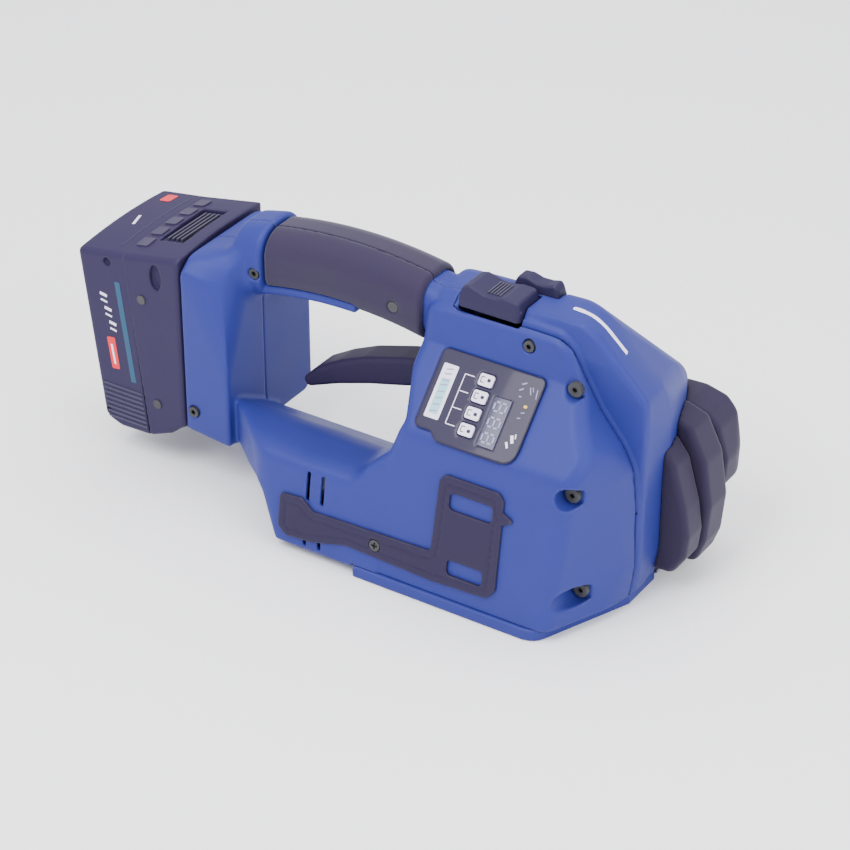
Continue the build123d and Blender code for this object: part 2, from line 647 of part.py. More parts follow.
with BuildPart() as base_plate:
    with BuildSketch(Plane.XZ.offset(-BASE_Y[0])):
        Polygon((BASE_X[0], 3), (BASE_X[0] + 6, 0), (BASE_X[1] - 8, 0), (BASE_X[1], 4),
                (BASE_X[1], PLATE_TOP - 1.5), (BASE_X[1] - 6, PLATE_TOP), (BASE_X[0] + 6, PLATE_TOP),
                (BASE_X[0], PLATE_TOP - 1.5), align=None)
    extrude(amount=BASE_Y[0] - BASE_Y[1])
    add(box(GRIPPER_X, STRAP_LANE, (3.0, 12)), mode=Mode.SUBTRACT)
    add(box(ANVIL_X, STRAP_LANE, (3.0, 12)), mode=Mode.SUBTRACT)
base_plate.part.label = "base_plate"
export_step(base_plate.part, "parts/base_plate.step")

with BuildPart() as gripper_plate:
    add(box((GRIPPER_X[0] + 0.1, GRIPPER_X[1] - 0.1), (STRAP_LANE[0] + 0.1, STRAP_LANE[1] - 0.1), (3.0, 9.6)))
    add(y_ring(*WHEEL_AXIS, 30, 60, WHEEL_R + 0.6), mode=Mode.SUBTRACT)
    tooth_pitch = 2.0
    for step in range(9):
        groove_x = GRIPPER_X[0] + 2.0 + tooth_pitch * step
        add(y_slab([(groove_x - 0.5, 12), (groove_x + 0.5, 12), (groove_x, 7.6)], 30, 60),
            mode=Mode.SUBTRACT)
gripper_plate.part.label = "gripper_plate"
export_step(gripper_plate.part, "parts/gripper_plate.step")

with BuildPart() as weld_anvil:
    add(box((ANVIL_X[0] + 0.1, ANVIL_X[1] - 0.1), (STRAP_LANE[0] + 0.1, STRAP_LANE[1] - 0.1), (3.0, 7.8)))
    for step in range(9):
        groove_x = ANVIL_X[0] + 3.0 + 2.0 * step
        add(y_slab([(groove_x - 0.5, 9), (groove_x + 0.5, 9), (groove_x, 7.2)], 30, 60),
            mode=Mode.SUBTRACT)
weld_anvil.part.label = "weld_anvil"
export_step(weld_anvil.part, "parts/weld_anvil.step")

FRAME_Y = (14.3, 18.0)
with BuildPart() as main_frame:
    with BuildSketch(Plane.XZ.offset(-FRAME_Y[0])):
        Polygon((32, PLATE_TOP), (148, PLATE_TOP), (148, 39.5), (130, 56), (130, 72.5), (106, 72.5),
                (100, 58), (58, 58), (50, 39.5), (32, 39.5), align=None)
        with Locations(DRIVE_AXIS):
            Circle(9.0, mode=Mode.SUBTRACT)
        with Locations(ECCENTRIC_AXIS):
            Circle(9.0, mode=Mode.SUBTRACT)
    extrude(amount=FRAME_Y[0] - FRAME_Y[1])
    add(box((108, 128), (FRAME_Y[1] - 0.5, 38), (69.5, 72.5)))
    with Locations((118, 30, 68.5)):
        Cylinder(2.4, 3.0)
main_frame.part.label = "main_frame"
export_step(main_frame.part, "parts/main_frame.step")

PLATE_SCREWS = [(19.5, 24.0), (22.0, 54.0), (95.0, 22.0), (144.0, 22.0), (144.0, 54.0)]
with BuildPart() as base_screws:
    for x, y in PLATE_SCREWS:
        with Locations((x, y, PLATE_TOP + 0.9)):
            Cylinder(3.2, 1.8)
            Cylinder(1.4, 1.9, mode=Mode.SUBTRACT)
base_screws.part.label = "base_screws"
export_step(base_screws.part, "parts/base_screws.step")

with BuildPart() as shaft_bearings:
    add(y_ring(*DRIVE_AXIS, FRAME_Y[0], FRAME_Y[1], 9.0, SHAFT_R + 0.05))
    add(y_ring(*DRIVE_AXIS, -9.8, -6.2, 9.0, SHAFT_R + 0.05))
    add(x_ring(*MOTOR_AXIS, 58, 62, 8.0, 3.05))
shaft_bearings.part.label = "shaft_bearings"
export_step(shaft_bearings.part, "parts/shaft_bearings.step")

with BuildPart() as gear_case:
    add(box((58, 104), (-58, -6), (9.8, 13)))
    add(box((58, 62), (-58, -6), (13, 54)))
    add(y_slab([(62, 13), (104, 13), (104, 46), (96, 54), (62, 54)], -9.8, -6.2,
               [(DRIVE_AXIS[0], DRIVE_AXIS[1], 9.0)]))
    add(x_ring(*MOTOR_AXIS, 50, 70, 8.0), mode=Mode.SUBTRACT)
gear_case.part.label = "gear_case"
export_step(gear_case.part, "parts/gear_case.step")

# ---------------------------------------------------------------- motor and bevels
PINION_TEETH = 12
GEAR_TEETH = 24
TOOTH_MODULE = 1.5
PINION_R = PINION_TEETH * TOOTH_MODULE / 2
GEAR_R = GEAR_TEETH * TOOTH_MODULE / 2
CONE_LENGTH = hypot(PINION_R, GEAR_R)
FACE_SHARE = 0.62          # inner end of the teeth, as a share of the cone length
BACKLASH = 0.25

MOTOR_R = 17.5
with BuildPart() as motor_can:
    add(x_ring(*MOTOR_AXIS, -30, 28, MOTOR_R, MOTOR_R - 2.5))
    add(x_ring(*MOTOR_AXIS, -30, -27, MOTOR_R, 3.1))
    add(x_ring(*MOTOR_AXIS, 25, 28, MOTOR_R, 3.1))
    add(x_ring(*MOTOR_AXIS, 28, 31, 6.5, 3.1))
motor_can.part.label = "motor_can"
export_step(motor_can.part, "parts/motor_can.step")

with BuildPart() as motor_rotor:
    add(x_ring(*MOTOR_AXIS, -32, 76, 3.0))
    add(x_ring(*MOTOR_AXIS, -23, 21, 13.5))
    for turn in range(8):
        angle = radians(45 * turn)
        y = MOTOR_AXIS[0] + 13.5 * cos(angle)
        z = MOTOR_AXIS[1] + 13.5 * sin(angle)
        add(x_ring(y, z, -24, 22, 1.6), mode=Mode.SUBTRACT)
motor_rotor.part.label = "motor_rotor"
export_step(motor_rotor.part, "parts/motor_rotor.step")


def bevel_gear(teeth, pitch_r, mate_r, bore_r, phase):
    """Bevel gear about local +Z, apex at the local origin, teeth towards -Z."""
    slope = mate_r
    outer, inner = 1.0, FACE_SHARE
    height = 1.0 * TOOTH_MODULE
    root = 1.1 * TOOTH_MODULE
    unit = (slope / CONE_LENGTH, pitch_r / CONE_LENGTH)
    root_r, root_z = pitch_r - root * unit[0], -slope - root * unit[1]
    with BuildPart() as gear:
        with BuildSketch(Plane.XZ):
            Polygon((bore_r, root_z * inner), (root_r * inner, root_z * inner), (root_r, root_z),
                    (root_r, root_z - 2.5), (bore_r, root_z - 2.5), align=None)
        revolve(axis=Axis.Z)
        for tooth in range(teeth):
            turn = Plane.XY.rotated((0, 0, phase + 360.0 * tooth / teeth))
            with BuildSketch(tooth_plane(turn, outer, pitch_r, slope)):
                Polygon(*tooth_profile(outer, height, root), align=None)
            with BuildSketch(tooth_plane(turn, inner, pitch_r, slope)):
                Polygon(*tooth_profile(inner, height, root), align=None)
            loft()
    return gear.part


def tooth_profile(share, height, root):
    """Trapezoid tooth, scaled towards the cone's apex; local y points outwards."""
    half_pitch = share * TOOTH_MODULE * pi / 4 - BACKLASH / 2
    tip = half_pitch - share * height * tan(radians(20))
    foot = half_pitch + share * root * tan(radians(20))
    return [(-foot, -share * root - 0.4), (foot, -share * root - 0.4), (tip, share * height - 0.2),
            (-tip, share * height - 0.2)]


def tooth_plane(turn, share, pitch_r, slope):
    """Plane across a tooth at a share of the cone length."""
    origin = turn.from_local_coords((pitch_r * share, 0, -slope * share))
    outward = turn.from_local_coords((slope, 0, pitch_r)) - turn.origin
    along_cone = turn.from_local_coords((pitch_r, 0, -slope)) - turn.origin
    return Plane(origin=origin, x_dir=along_cone.cross(outward), z_dir=along_cone * -1)


APEX = (DRIVE_AXIS[0], MOTOR_AXIS[0], DRIVE_AXIS[1])
PINION_FRAME = Plane(origin=APEX, x_dir=(0, 1, 0), z_dir=(1, 0, 0))
GEAR_FRAME = Plane(origin=APEX, x_dir=(1, 0, 0), z_dir=(0, -1, 0))

pinion_shape = bevel_gear(PINION_TEETH, PINION_R, GEAR_R, 3.0, 0.0)
with BuildPart() as bevel_pinion:
    add(pinion_shape.moved(PINION_FRAME.location))
bevel_pinion.part.label = "bevel_pinion"
export_step(bevel_pinion.part, "parts/bevel_pinion.step")

gear_shape = bevel_gear(GEAR_TEETH, GEAR_R, PINION_R, SHAFT_R, 180.0 / GEAR_TEETH)
with BuildPart() as bevel_wheel:
    add(gear_shape.moved(GEAR_FRAME.location))
bevel_wheel.part.label = "bevel_wheel"
export_step(bevel_wheel.part, "parts/bevel_wheel.step")

with BuildPart() as cross_shaft:
    add(y_ring(*DRIVE_AXIS, -31, 35, SHAFT_R))
cross_shaft.part.label = "cross_shaft"
export_step(cross_shaft.part, "parts/cross_shaft.step")


def toothed_pulley(axis, lane, bore_r, teeth=18):
    """Timing pulley with round grooves."""
    x, z = axis
    with BuildPart() as pulley:
        add(y_ring(x, z, lane[0], lane[1], PULLEY_R, bore_r))
        for tooth in range(teeth):
            angle = 2 * pi * tooth / teeth
            add(y_ring(x + PULLEY_R * cos(angle), z + PULLEY_R * sin(angle), lane[0] - 1,
                       lane[1] + 1, 0.8), mode=Mode.SUBTRACT)
    return pulley.part


with BuildPart() as drive_pulleys:
    add(toothed_pulley(DRIVE_AXIS, WELD_BELT_LANE, SHAFT_R))
    add(toothed_pulley(DRIVE_AXIS, BELT_LANE, SHAFT_R))
drive_pulleys.part.label = "drive_pulleys"
export_step(drive_pulleys.part, "parts/drive_pulleys.step")

with BuildPart() as weld_belt:
    add(belt(DRIVE_AXIS, ECCENTRIC_AXIS, PULLEY_R + GAP + BELT_T, BELT_T, *WELD_BELT_LANE))
weld_belt.part.label = "weld_belt"
export_step(weld_belt.part, "parts/weld_belt.step")

# ---------------------------------------------------------------- tension rocker
TAIL_R = 3.0
tail_pin = beside(contact * line_length, -TAIL_R - 0.1)
with BuildPart() as rocker_arm:
    with BuildSketch(Plane.XZ.offset(-ROCKER_LANE[0])):
        with Locations(DRIVE_AXIS):
            Circle(9.5)
        with Locations(WHEEL_AXIS):
            Circle(13)
        Polygon((86, 23.5), (122, 14.5), (122, 40), (86, 42.5), align=None)
        Polygon((80, 27), (92, 38), (tail_pin[0] + 4, tail_pin[1] + 4), (tail_pin[0] - 4, tail_pin[1] - 3),
                align=None)
        with Locations(tail_pin):
            Circle(5)
    extrude(amount=ROCKER_LANE[0] - ROCKER_LANE[1])
    add(y_ring(*WHEEL_AXIS, ROCKER_LANE[1], 35.4, 12))
    add(box((108, 128), (ROCKER_LANE[0], 34), (36, 41)))
    add(y_ring(*tail_pin, -6, ROCKER_LANE[0], TAIL_R))
    add(y_ring(*DRIVE_AXIS, 0, 60, SHAFT_R + 0.08), mode=Mode.SUBTRACT)
    add(y_ring(*WHEEL_AXIS, 0, 60, 4.08), mode=Mode.SUBTRACT)
rocker_arm.part.label = "rocker_arm"
export_step(rocker_arm.part, "parts/rocker_arm.step")

with BuildPart() as tension_belt:
    add(belt(DRIVE_AXIS, WHEEL_AXIS, PULLEY_R + GAP + BELT_T, BELT_T, *BELT_LANE))
tension_belt.part.label = "tension_belt"
export_step(tension_belt.part, "parts/tension_belt.step")

with BuildPart() as tension_wheel:
    add(y_ring(*WHEEL_AXIS, *STRAP_LANE, WHEEL_R, 4.0))
    knurls = 36
    for tooth in range(knurls):
        angle = 2 * pi * tooth / knurls
        x = WHEEL_AXIS[0] + (WHEEL_R + 0.5) * cos(angle)
        z = WHEEL_AXIS[1] + (WHEEL_R + 0.5) * sin(angle)
        add(y_ring(x, z, STRAP_LANE[0] - 1, STRAP_LANE[1] + 1, 1.1), mode=Mode.SUBTRACT)
    add(y_ring(*WHEEL_AXIS, STRAP_LANE[1] - 2, STRAP_LANE[1] + 1, 13, 7), mode=Mode.SUBTRACT)
tension_wheel.part.label = "tension_wheel"
export_step(tension_wheel.part, "parts/tension_wheel.step")

with BuildPart() as wheel_shaft:
    add(y_ring(*WHEEL_AXIS, 18.8, 55, 4.0))
    add(y_ring(*WHEEL_AXIS, STRAP_LANE[1] + 0.1, 54.5, 6.0, 4.0))
wheel_shaft.part.label = "wheel_shaft"
export_step(wheel_shaft.part, "parts/wheel_shaft.step")

with BuildPart() as wheel_pulley:
    add(toothed_pulley(WHEEL_AXIS, BELT_LANE, 4.0))
wheel_pulley.part.label = "wheel_pulley"
export_step(wheel_pulley.part, "parts/wheel_pulley.step")

SPRING_LOW_Z = 41.2
SPRING_HIGH_Z = 69.3
with BuildPart() as rocker_spring:
    with BuildLine():
        turns = Helix(pitch=4.0, height=SPRING_HIGH_Z - SPRING_LOW_Z - 2.2, radius=5.0,
                      center=(118, 30, SPRING_LOW_Z + 1.1))
    with BuildSketch(Plane(origin=turns @ 0, z_dir=turns % 0)):
        Circle(0.9)
    sweep(is_frenet=True)
rocker_spring.part.label = "rocker_spring"
export_step(rocker_spring.part, "parts/rocker_spring.step")

# ---------------------------------------------------------------- weld unit
SHOE_X = (48.0, 66.0)
SHOE_Z = (10.5, 17.6)
with BuildPart() as weld_arm:
    with BuildSketch(Plane.XZ.offset(-WELD_LANE[0])):
        with Locations(DRIVE_AXIS):
            Circle(9.0)
        Polygon((46, 18), (77, 18), (90, 25), (88, 42), (72, 34), (46, 31), align=None)
    extrude(amount=WELD_LANE[0] - WELD_LANE[1])
    add(box((46, 68), (WELD_LANE[1] - 0.1, STRAP_LANE[1]), (18, 31)))
    add(box((69, 77), (WELD_LANE[1] - 0.1, STRAP_LANE[1]), (18, 28)))
    add(box((68, 69), (WELD_LANE[1] - 0.1, STRAP_LANE[1]), (24, 28)))
    add(box((72, 74.2), (STRAP_LANE[0], STRAP_LANE[1] + 1), (16, 26)), mode=Mode.SUBTRACT)
    add(y_ring(*DRIVE_AXIS, 0, 60, SHAFT_R + 0.08), mode=Mode.SUBTRACT)
    add(y_ring(*ECCENTRIC_AXIS, 0, 60, SHAFT_R + 0.08), mode=Mode.SUBTRACT)
weld_arm.part.label = "weld_arm"
export_step(weld_arm.part, "parts/weld_arm.step")

with BuildPart() as weld_shoe:
    add(box(SHOE_X, (STRAP_LANE[0] + 1.5, STRAP_LANE[1] - 1.5), SHOE_Z))
    for step in range(8):
        groove_x = SHOE_X[0] + 2.0 + 2.0 * step
        add(y_slab([(groove_x - 0.5, 10), (groove_x + 0.5, 10), (groove_x, 11.2)], 30, 60),
            mode=Mode.SUBTRACT)
weld_shoe.part.label = "weld_shoe"
export_step(weld_shoe.part, "parts/weld_shoe.step")

with BuildPart() as cutter_blade:
    with BuildSketch(Plane.XZ.offset(-STRAP_LANE[0] - 0.2)):
        Polygon((72.1, 12), (73, 10), (74.1, 12), (74.1, 25.8), (72.1, 25.8), align=None)
    extrude(amount=STRAP_LANE[0] - STRAP_LANE[1] + 0.4)
cutter_blade.part.label = "cutter_blade"
export_step(cutter_blade.part, "parts/cutter_blade.step")

with BuildPart() as eccentric_shaft:
    add(y_ring(*ECCENTRIC_AXIS, 1.4, 48, SHAFT_R))
    add(y_ring(ECCENTRIC_AXIS[0] + 1.0, ECCENTRIC_AXIS[1], 48, 52, 2.6))
    add(y_ring(ECCENTRIC_AXIS[0] - 1.5, ECCENTRIC_AXIS[1], 9.0, 13.0, 4.5))
eccentric_shaft.part.label = "eccentric_shaft"
export_step(eccentric_shaft.part, "parts/eccentric_shaft.step")

with BuildPart() as eccentric_pulley:
    add(toothed_pulley(ECCENTRIC_AXIS, WELD_BELT_LANE, SHAFT_R))
eccentric_pulley.part.label = "eccentric_pulley"
export_step(eccentric_pulley.part, "parts/eccentric_pulley.step")

# ---------------------------------------------------------------- strap guides, cover
with BuildPart() as strap_guides:
    add(box((134, 137), (BASE_Y[0] + 4, 34), (PLATE_TOP, 22)))
    add(box((134, 146), (31, 34), (PLATE_TOP, 22)))
    add(box((24, 40), (31, 34), (PLATE_TOP, 20)))
    add(box((24, 27), (18.2, 34), (PLATE_TOP, 20)))
strap_guides.part.label = "strap_guides"
export_step(strap_guides.part, "parts/strap_guides.step")

COVER_OUTLINE = [(52, 42), (122, 42), (122, 88), (116, 94), (60, 94), (52, 84)]
COVER_SCREWS = [(58, 48), (116, 48), (112, 88), (64, 88)]
with BuildPart() as side_cover:
    add(y_slab(COVER_OUTLINE, 66, 68.6, [(x, z, 2.2) for x, z in COVER_SCREWS]))
side_cover.part.label = "side_cover"
export_step(side_cover.part, "parts/side_cover.step")

with BuildPart() as cover_screws:
    for x, z in COVER_SCREWS:
        add(y_ring(x, z, 68.6, 69.8, 3.6))
        add(y_ring(x, z, 66.0, 68.6, 2.1))
        add(y_ring(x, z, 69.0, 70.0, 1.5), mode=Mode.SUBTRACT)
cover_screws.part.label = "cover_screws"
export_step(cover_screws.part, "parts/cover_screws.step")

# ---------------------------------------------------------------- battery dock
RAIL_Z = (36.0, 116.0)
with BuildPart() as battery_dock:
    add(box((HOLDER_REAR - 0.1, HOLDER_REAR), (-30, 30), (34, 126)))
    add(box((HOLDER_REAR - 3.4, HOLDER_REAR - 0.1), (-13, 13), RAIL_Z))
    add(box((HOLDER_REAR - 6.6, HOLDER_REAR - 3.4), (-20, 20), RAIL_Z))
    for y in (-9.0, 0.0, 9.0):
        add(box((HOLDER_REAR - 9.0, HOLDER_REAR - 6.6), (y - 0.5, y + 0.5), (50, 96)))
battery_dock.part.label = "battery_dock"
export_step(battery_dock.part, "parts/battery_dock.step")

# ---------------------------------------------------------------- battery pack
PACK_SEAM_TOP = (-147.8, 126.1)
PACK_SEAM_LOW = (-135.0, 17.7)
PACK_FACE = HOLDER_REAR - GAP
PACK_INNER = [
    (PACK_FACE, 133.2), PACK_SEAM_TOP, PACK_SEAM_LOW, (-133, 17.8), (-121, 23), (-115, 28),
    (PACK_FACE, 31),
]
PACK_OUTER = [
    PACK_SEAM_TOP, (-HALF_LENGTH, 121), (-164, 22.7), (-161, 20), (-154, 17.4), PACK_SEAM_LOW,
]
PACK_WHOLE = [
    (PACK_FACE, 133.2), (-HALF_LENGTH, 121), (-164, 22.7), (-161, 20), (-154, 17.4),
    (-133, 17.8), (-121, 23), (-115, 28), (PACK_FACE, 31),
]


def pack_room():
    """Inside of the pack, behind its slide face."""
    with BuildPart() as room:
        with BuildSketch(Plane.XZ.offset(-(PACK_HALF_Y - WALL))):
            Polygon(*inward(PACK_WHOLE, WALL), align=None)
        extrude(amount=2 * (PACK_HALF_Y - WALL))
        add(box((-121.5, -100), (-60, 60), (0, 140)), mode=Mode.SUBTRACT)
    return room.part


with BuildPart() as battery_inner:
    add(y_slab(PACK_INNER, -PACK_HALF_Y, PACK_HALF_Y))
    fillet(battery_inner.edges().filter_by(Axis.X, tolerance=15).sort_by(Axis.Z)[-2:], 4)
    add(pack_room(), mode=Mode.SUBTRACT)
    # slide channel with two lips, open at the bottom
    add(box((-119.5, -113.1), (-21, 21), (0, 117)), mode=Mode.SUBTRACT)
    add(box((-114, -100), (-14, 14), (0, 117)), mode=Mode.SUBTRACT)
    # pocket for the release button
    add(box((-136, -120), (-20, 20), (122.5, 140)), mode=Mode.SUBTRACT)
battery_inner.part.label = "battery_inner"
export_step(battery_inner.part, "parts/battery_inner.step")

with BuildPart() as battery_outer:
    add(y_slab(PACK_OUTER, -PACK_HALF_Y, PACK_HALF_Y))
    add(pack_room(), mode=Mode.SUBTRACT)
battery_outer.part.label = "battery_outer"
export_step(battery_outer.part, "parts/battery_outer.step")

CELL_R = 9.1
CELL_PITCH = 19.2
with BuildPart() as battery_cells:
    for column_x in (-131.6, -150.9):
        for row in range(5):
            add(y_ring(column_x - 0.4 * row, 31.5 + CELL_PITCH * row, -32.5, 32.5, CELL_R))
battery_cells.part.label = "battery_cells"
export_step(battery_cells.part, "parts/battery_cells.step")

with BuildPart() as battery_latch:
    with BuildSketch(Plane.XZ.offset(19.6)):
        Polygon((-135.6, 125), (-120.4, 125), (-120.4, 131.8), (-135.6, 129.0), align=None)
    extrude(amount=-39.2)
    for groove in range(4):
        x = -133.0 + 3.2 * groove
        add(box((x, x + 1.2), (-17, 17), (127.6 + 0.6 * groove, 140)), mode=Mode.SUBTRACT)
battery_latch.part.label = "battery_latch"
export_step(battery_latch.part, "parts/battery_latch.step")

with BuildPart() as pack_screws:
    for x, z in ((-135.7, 102.7), (-128.7, 40.0)):
        for y_low, y_high in ((-PACK_HALF_Y - 0.6, -PACK_HALF_Y), (PACK_HALF_Y, PACK_HALF_Y + 0.6)):
            add(y_ring(x, z, y_low, y_high, 2.6))
pack_screws.part.label = "pack_screws"
export_step(pack_screws.part, "parts/pack_screws.step")
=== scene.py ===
import json
import math

import bmesh
import bpy
import numpy as np
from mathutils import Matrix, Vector


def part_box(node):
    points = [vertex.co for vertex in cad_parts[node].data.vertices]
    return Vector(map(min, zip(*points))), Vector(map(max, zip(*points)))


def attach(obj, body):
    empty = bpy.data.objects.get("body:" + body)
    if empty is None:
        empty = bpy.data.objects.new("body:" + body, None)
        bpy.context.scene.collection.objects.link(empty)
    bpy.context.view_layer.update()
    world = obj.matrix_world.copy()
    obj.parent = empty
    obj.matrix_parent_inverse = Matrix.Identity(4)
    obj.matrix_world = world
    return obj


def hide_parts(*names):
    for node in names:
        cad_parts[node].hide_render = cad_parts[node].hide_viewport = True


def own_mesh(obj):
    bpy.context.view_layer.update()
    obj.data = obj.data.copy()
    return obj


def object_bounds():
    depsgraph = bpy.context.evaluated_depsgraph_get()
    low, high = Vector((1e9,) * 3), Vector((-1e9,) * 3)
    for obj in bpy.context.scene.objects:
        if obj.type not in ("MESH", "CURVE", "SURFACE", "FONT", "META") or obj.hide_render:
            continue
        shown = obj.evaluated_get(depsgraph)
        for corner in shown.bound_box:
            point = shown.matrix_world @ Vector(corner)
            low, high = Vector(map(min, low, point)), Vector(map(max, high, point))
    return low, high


# Looks for the battery strapping tool. Shapes are signed distance fields in
# millimetres in the frame's axes, turned into meshes; a field is negative inside.

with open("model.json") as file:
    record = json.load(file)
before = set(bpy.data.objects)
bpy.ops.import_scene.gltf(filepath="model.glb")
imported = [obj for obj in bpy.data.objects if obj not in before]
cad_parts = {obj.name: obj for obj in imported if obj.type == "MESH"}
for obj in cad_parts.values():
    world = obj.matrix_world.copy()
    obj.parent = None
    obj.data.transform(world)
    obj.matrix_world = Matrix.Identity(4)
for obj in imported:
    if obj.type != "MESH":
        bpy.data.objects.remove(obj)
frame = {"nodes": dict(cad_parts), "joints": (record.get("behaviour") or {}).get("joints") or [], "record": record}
cad_low, cad_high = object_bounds()

MM = 0.001
FINE = 1.0      # scales every sampling step


# ---------------------------------------------------------------- places from the frame
def box_mm(node):
    """Lowest and highest corner of a CAD node, in millimetres."""
    low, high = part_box(node)
    return np.array(low) / MM, np.array(high) / MM


JOINTS = {joint["name"]: joint for joint in frame["joints"]}
PIVOT_X, _, PIVOT_Z = [value / MM for value in JOINTS["lever_pull"]["pos_m"]]
SIDE_Y = cad_high.y / MM
PACK_HALF_Y = box_mm("battery_outer")[1][1]
FLOOR_Z = box_mm("bottom_cover")[1][2]          # top of the bottom cover
WALL_LOW_Y = box_mm("right_housing")[0][1]      # the near wall's foot
SEAM_FRONT = box_mm("left_housing")[0][1]
WALL = 2.8

# ---------------------------------------------------------------- fields
def soft_outline(corners, steps=5):
    """Closed outline from (a, b, radius) corners, each rounded by a curve."""
    points = []
    for i, (a, b, radius) in enumerate(corners):
        here = np.array((a, b), float)
        before = np.array(corners[i - 1][:2], float) - here
        after = np.array(corners[(i + 1) % len(corners)][:2], float) - here
        if radius <= 0:
            points.append(tuple(here))
            continue
        before_length, after_length = np.linalg.norm(before), np.linalg.norm(after)
        cosine = before @ after / (before_length * after_length)
        half = math.acos(max(-1.0, min(1.0, cosine))) / 2
        reach = min(radius / math.tan(half), 0.48 * before_length, 0.48 * after_length)
        start = here + before / before_length * reach
        end = here + after / after_length * reach
        for s in np.linspace(0, 1, steps):
            points.append(tuple((1 - s) ** 2 * start + 2 * s * (1 - s) * here + s * s * end))
    return points


def outline_field(points, a, b):
    """Distance to a closed outline, negative inside."""
    nearest, inside = None, False
    for (a0, b0), (a1, b1) in zip(points, points[1:] + points[:1]):
        run, rise = a1 - a0, b1 - b0
        length2 = run * run + rise * rise
        if length2 < 1e-9:
            continue
        da, db = a - a0, b - b0
        t = np.clip((da * run + db * rise) / length2, 0, 1)
        gap2 = (da - run * t) ** 2 + (db - rise * t) ** 2
        nearest = gap2 if nearest is None else np.minimum(nearest, gap2)
        if rise:
            inside ^= ((b0 <= b) != (b1 <= b)) & (a < a0 + run * (b - b0) / rise)
    return np.where(inside, -1.0, 1.0) * np.sqrt(nearest)


def both(first, second, radius=0.0):
    """What two fields share, with its edge rounded."""
    if not radius:
        return np.maximum(first, second)
    corner = np.hypot(np.maximum(first + radius, 0), np.maximum(second + radius, 0))
    return np.minimum(np.maximum(first, second), -radius) + corner


def either(first, second, radius=0.0):
    """Two fields joined, with the inner corner filled."""
    if not radius:
        return np.minimum(first, second)
    return -both(-first, -second, radius)


def without(first, second, radius=0.0):
    """The first field less the second."""
    return both(first, -second, radius)


def slab(value, low, high):
    """Field of the space between two parallel planes."""
    return np.maximum(low - value, value - high)


def cuboid(x, y, z, low, high, radius=0.0):
    """Box with rounded edges."""
    parts = []
    for value, lowest, highest in zip((x, y, z), low, high):
        parts.append(np.abs(value - (lowest + highest) / 2) - (highest - lowest) / 2 + radius)
    outside = np.sqrt(sum(np.maximum(part, 0) ** 2 for part in parts))
    inner = np.maximum(np.maximum(parts[0], parts[1]), parts[2])
    return outside + np.minimum(inner, 0) - radius


def y_cylinder(x, z, centre, radius):
    """Endless cylinder along Y."""
    return np.hypot(x - centre[0], z - centre[1]) - radius


def block(x, y, z, side, section, plan, radius):
    """Solid with a side view (x, z), a section (y, z) and a plan (x, y)."""
    shape = both(outline_field(side, x, z), outline_field(section, y, z), radius)
    return both(shape, outline_field(plan, x, y), radius)


# ---------------------------------------------------------------- meshes from fields
def net(field, low, high, step):
    """Surface net of a field inside a box: vertices in millimetres and quads."""
    axes = [np.arange(low[i] - 2 * step, high[i] + 3 * step, step, dtype=np.float32)
            for i in range(3)]
    shape = tuple(len(axis) for axis in axes)
    x, y, z = axes[0][:, None, None], axes[1][None, :, None], axes[2][None, None, :]
    values = np.broadcast_to(field(x, y, z), shape).astype(np.float32)
    rim = np.ones(shape, bool)
    rim[1:-1, 1:-1, 1:-1] = False
    values[rim] = np.maximum(values[rim], step)
    ids, points, quads = [], [], []
    for axis in range(3):
        u, v = (axis + 1) % 3, (axis + 2) % 3
        lower = [slice(None)] * 3
        upper = [slice(None)] * 3
        lower[axis], upper[axis] = slice(0, -1), slice(1, None)
        first, second = values[tuple(lower)], values[tuple(upper)]
        cells = np.argwhere((first < 0) != (second < 0))
        start = first[tuple(cells.T)]
        end = second[tuple(cells.T)]
        point = cells.astype(np.float64)
        point[:, axis] += start / (start - end)
        corners = []
        for du, dv in ((0, 0), (1, 0), (1, 1), (0, 1)):
            cell = cells.copy()
            cell[:, u] -= du
            cell[:, v] -= dv
            number = np.ravel_multi_index(tuple(cell.T), shape)
            corners.append(number)
            ids.append(number)
            points.append(point)
        quad = np.stack(corners, 1)
        quad[start > 0] = quad[start > 0][:, ::-1]
        quads.append(quad)
    names, index = np.unique(np.concatenate(ids), return_inverse=True)
    every = np.concatenate(points)
    count = np.bincount(index)
    vertices = np.stack([np.bincount(index, every[:, k]) / count for k in range(3)], 1)
    faces = np.searchsorted(names, np.concatenate(quads))
    return vertices * step + [axis[0] for axis in axes], faces


def mesh_object(name, vertices, faces):
    """Smooth-shaded object from vertices in millimetres."""
    mesh = bpy.data.meshes.new(name)
    sides = faces.shape[1]
    mesh.vertices.add(len(vertices))
    mesh.vertices.foreach_set("co", (np.asarray(vertices) * MM).astype(np.float32).ravel())
    mesh.loops.add(faces.size)
    mesh.loops.foreach_set("vertex_index", faces.astype(np.int32).ravel())
    mesh.polygons.add(len(faces))
    mesh.polygons.foreach_set("loop_start", np.arange(0, faces.size, sides, dtype=np.int32))
    mesh.update(calc_edges=True)
    mesh.validate()
    mesh.polygons.foreach_set("use_smooth", np.ones(len(mesh.polygons), bool))
    thing = bpy.data.objects.new(name, mesh)
    bpy.context.scene.collection.objects.link(thing)
    return thing


def finish_piece(thing, body, material, nodes=()):
    """Gives a piece its material and its body, and hides the CAD nodes that it stands for."""
    thing.data.materials.append(material)
    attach(thing, body)
    if nodes:
        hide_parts(*nodes)
    return thing


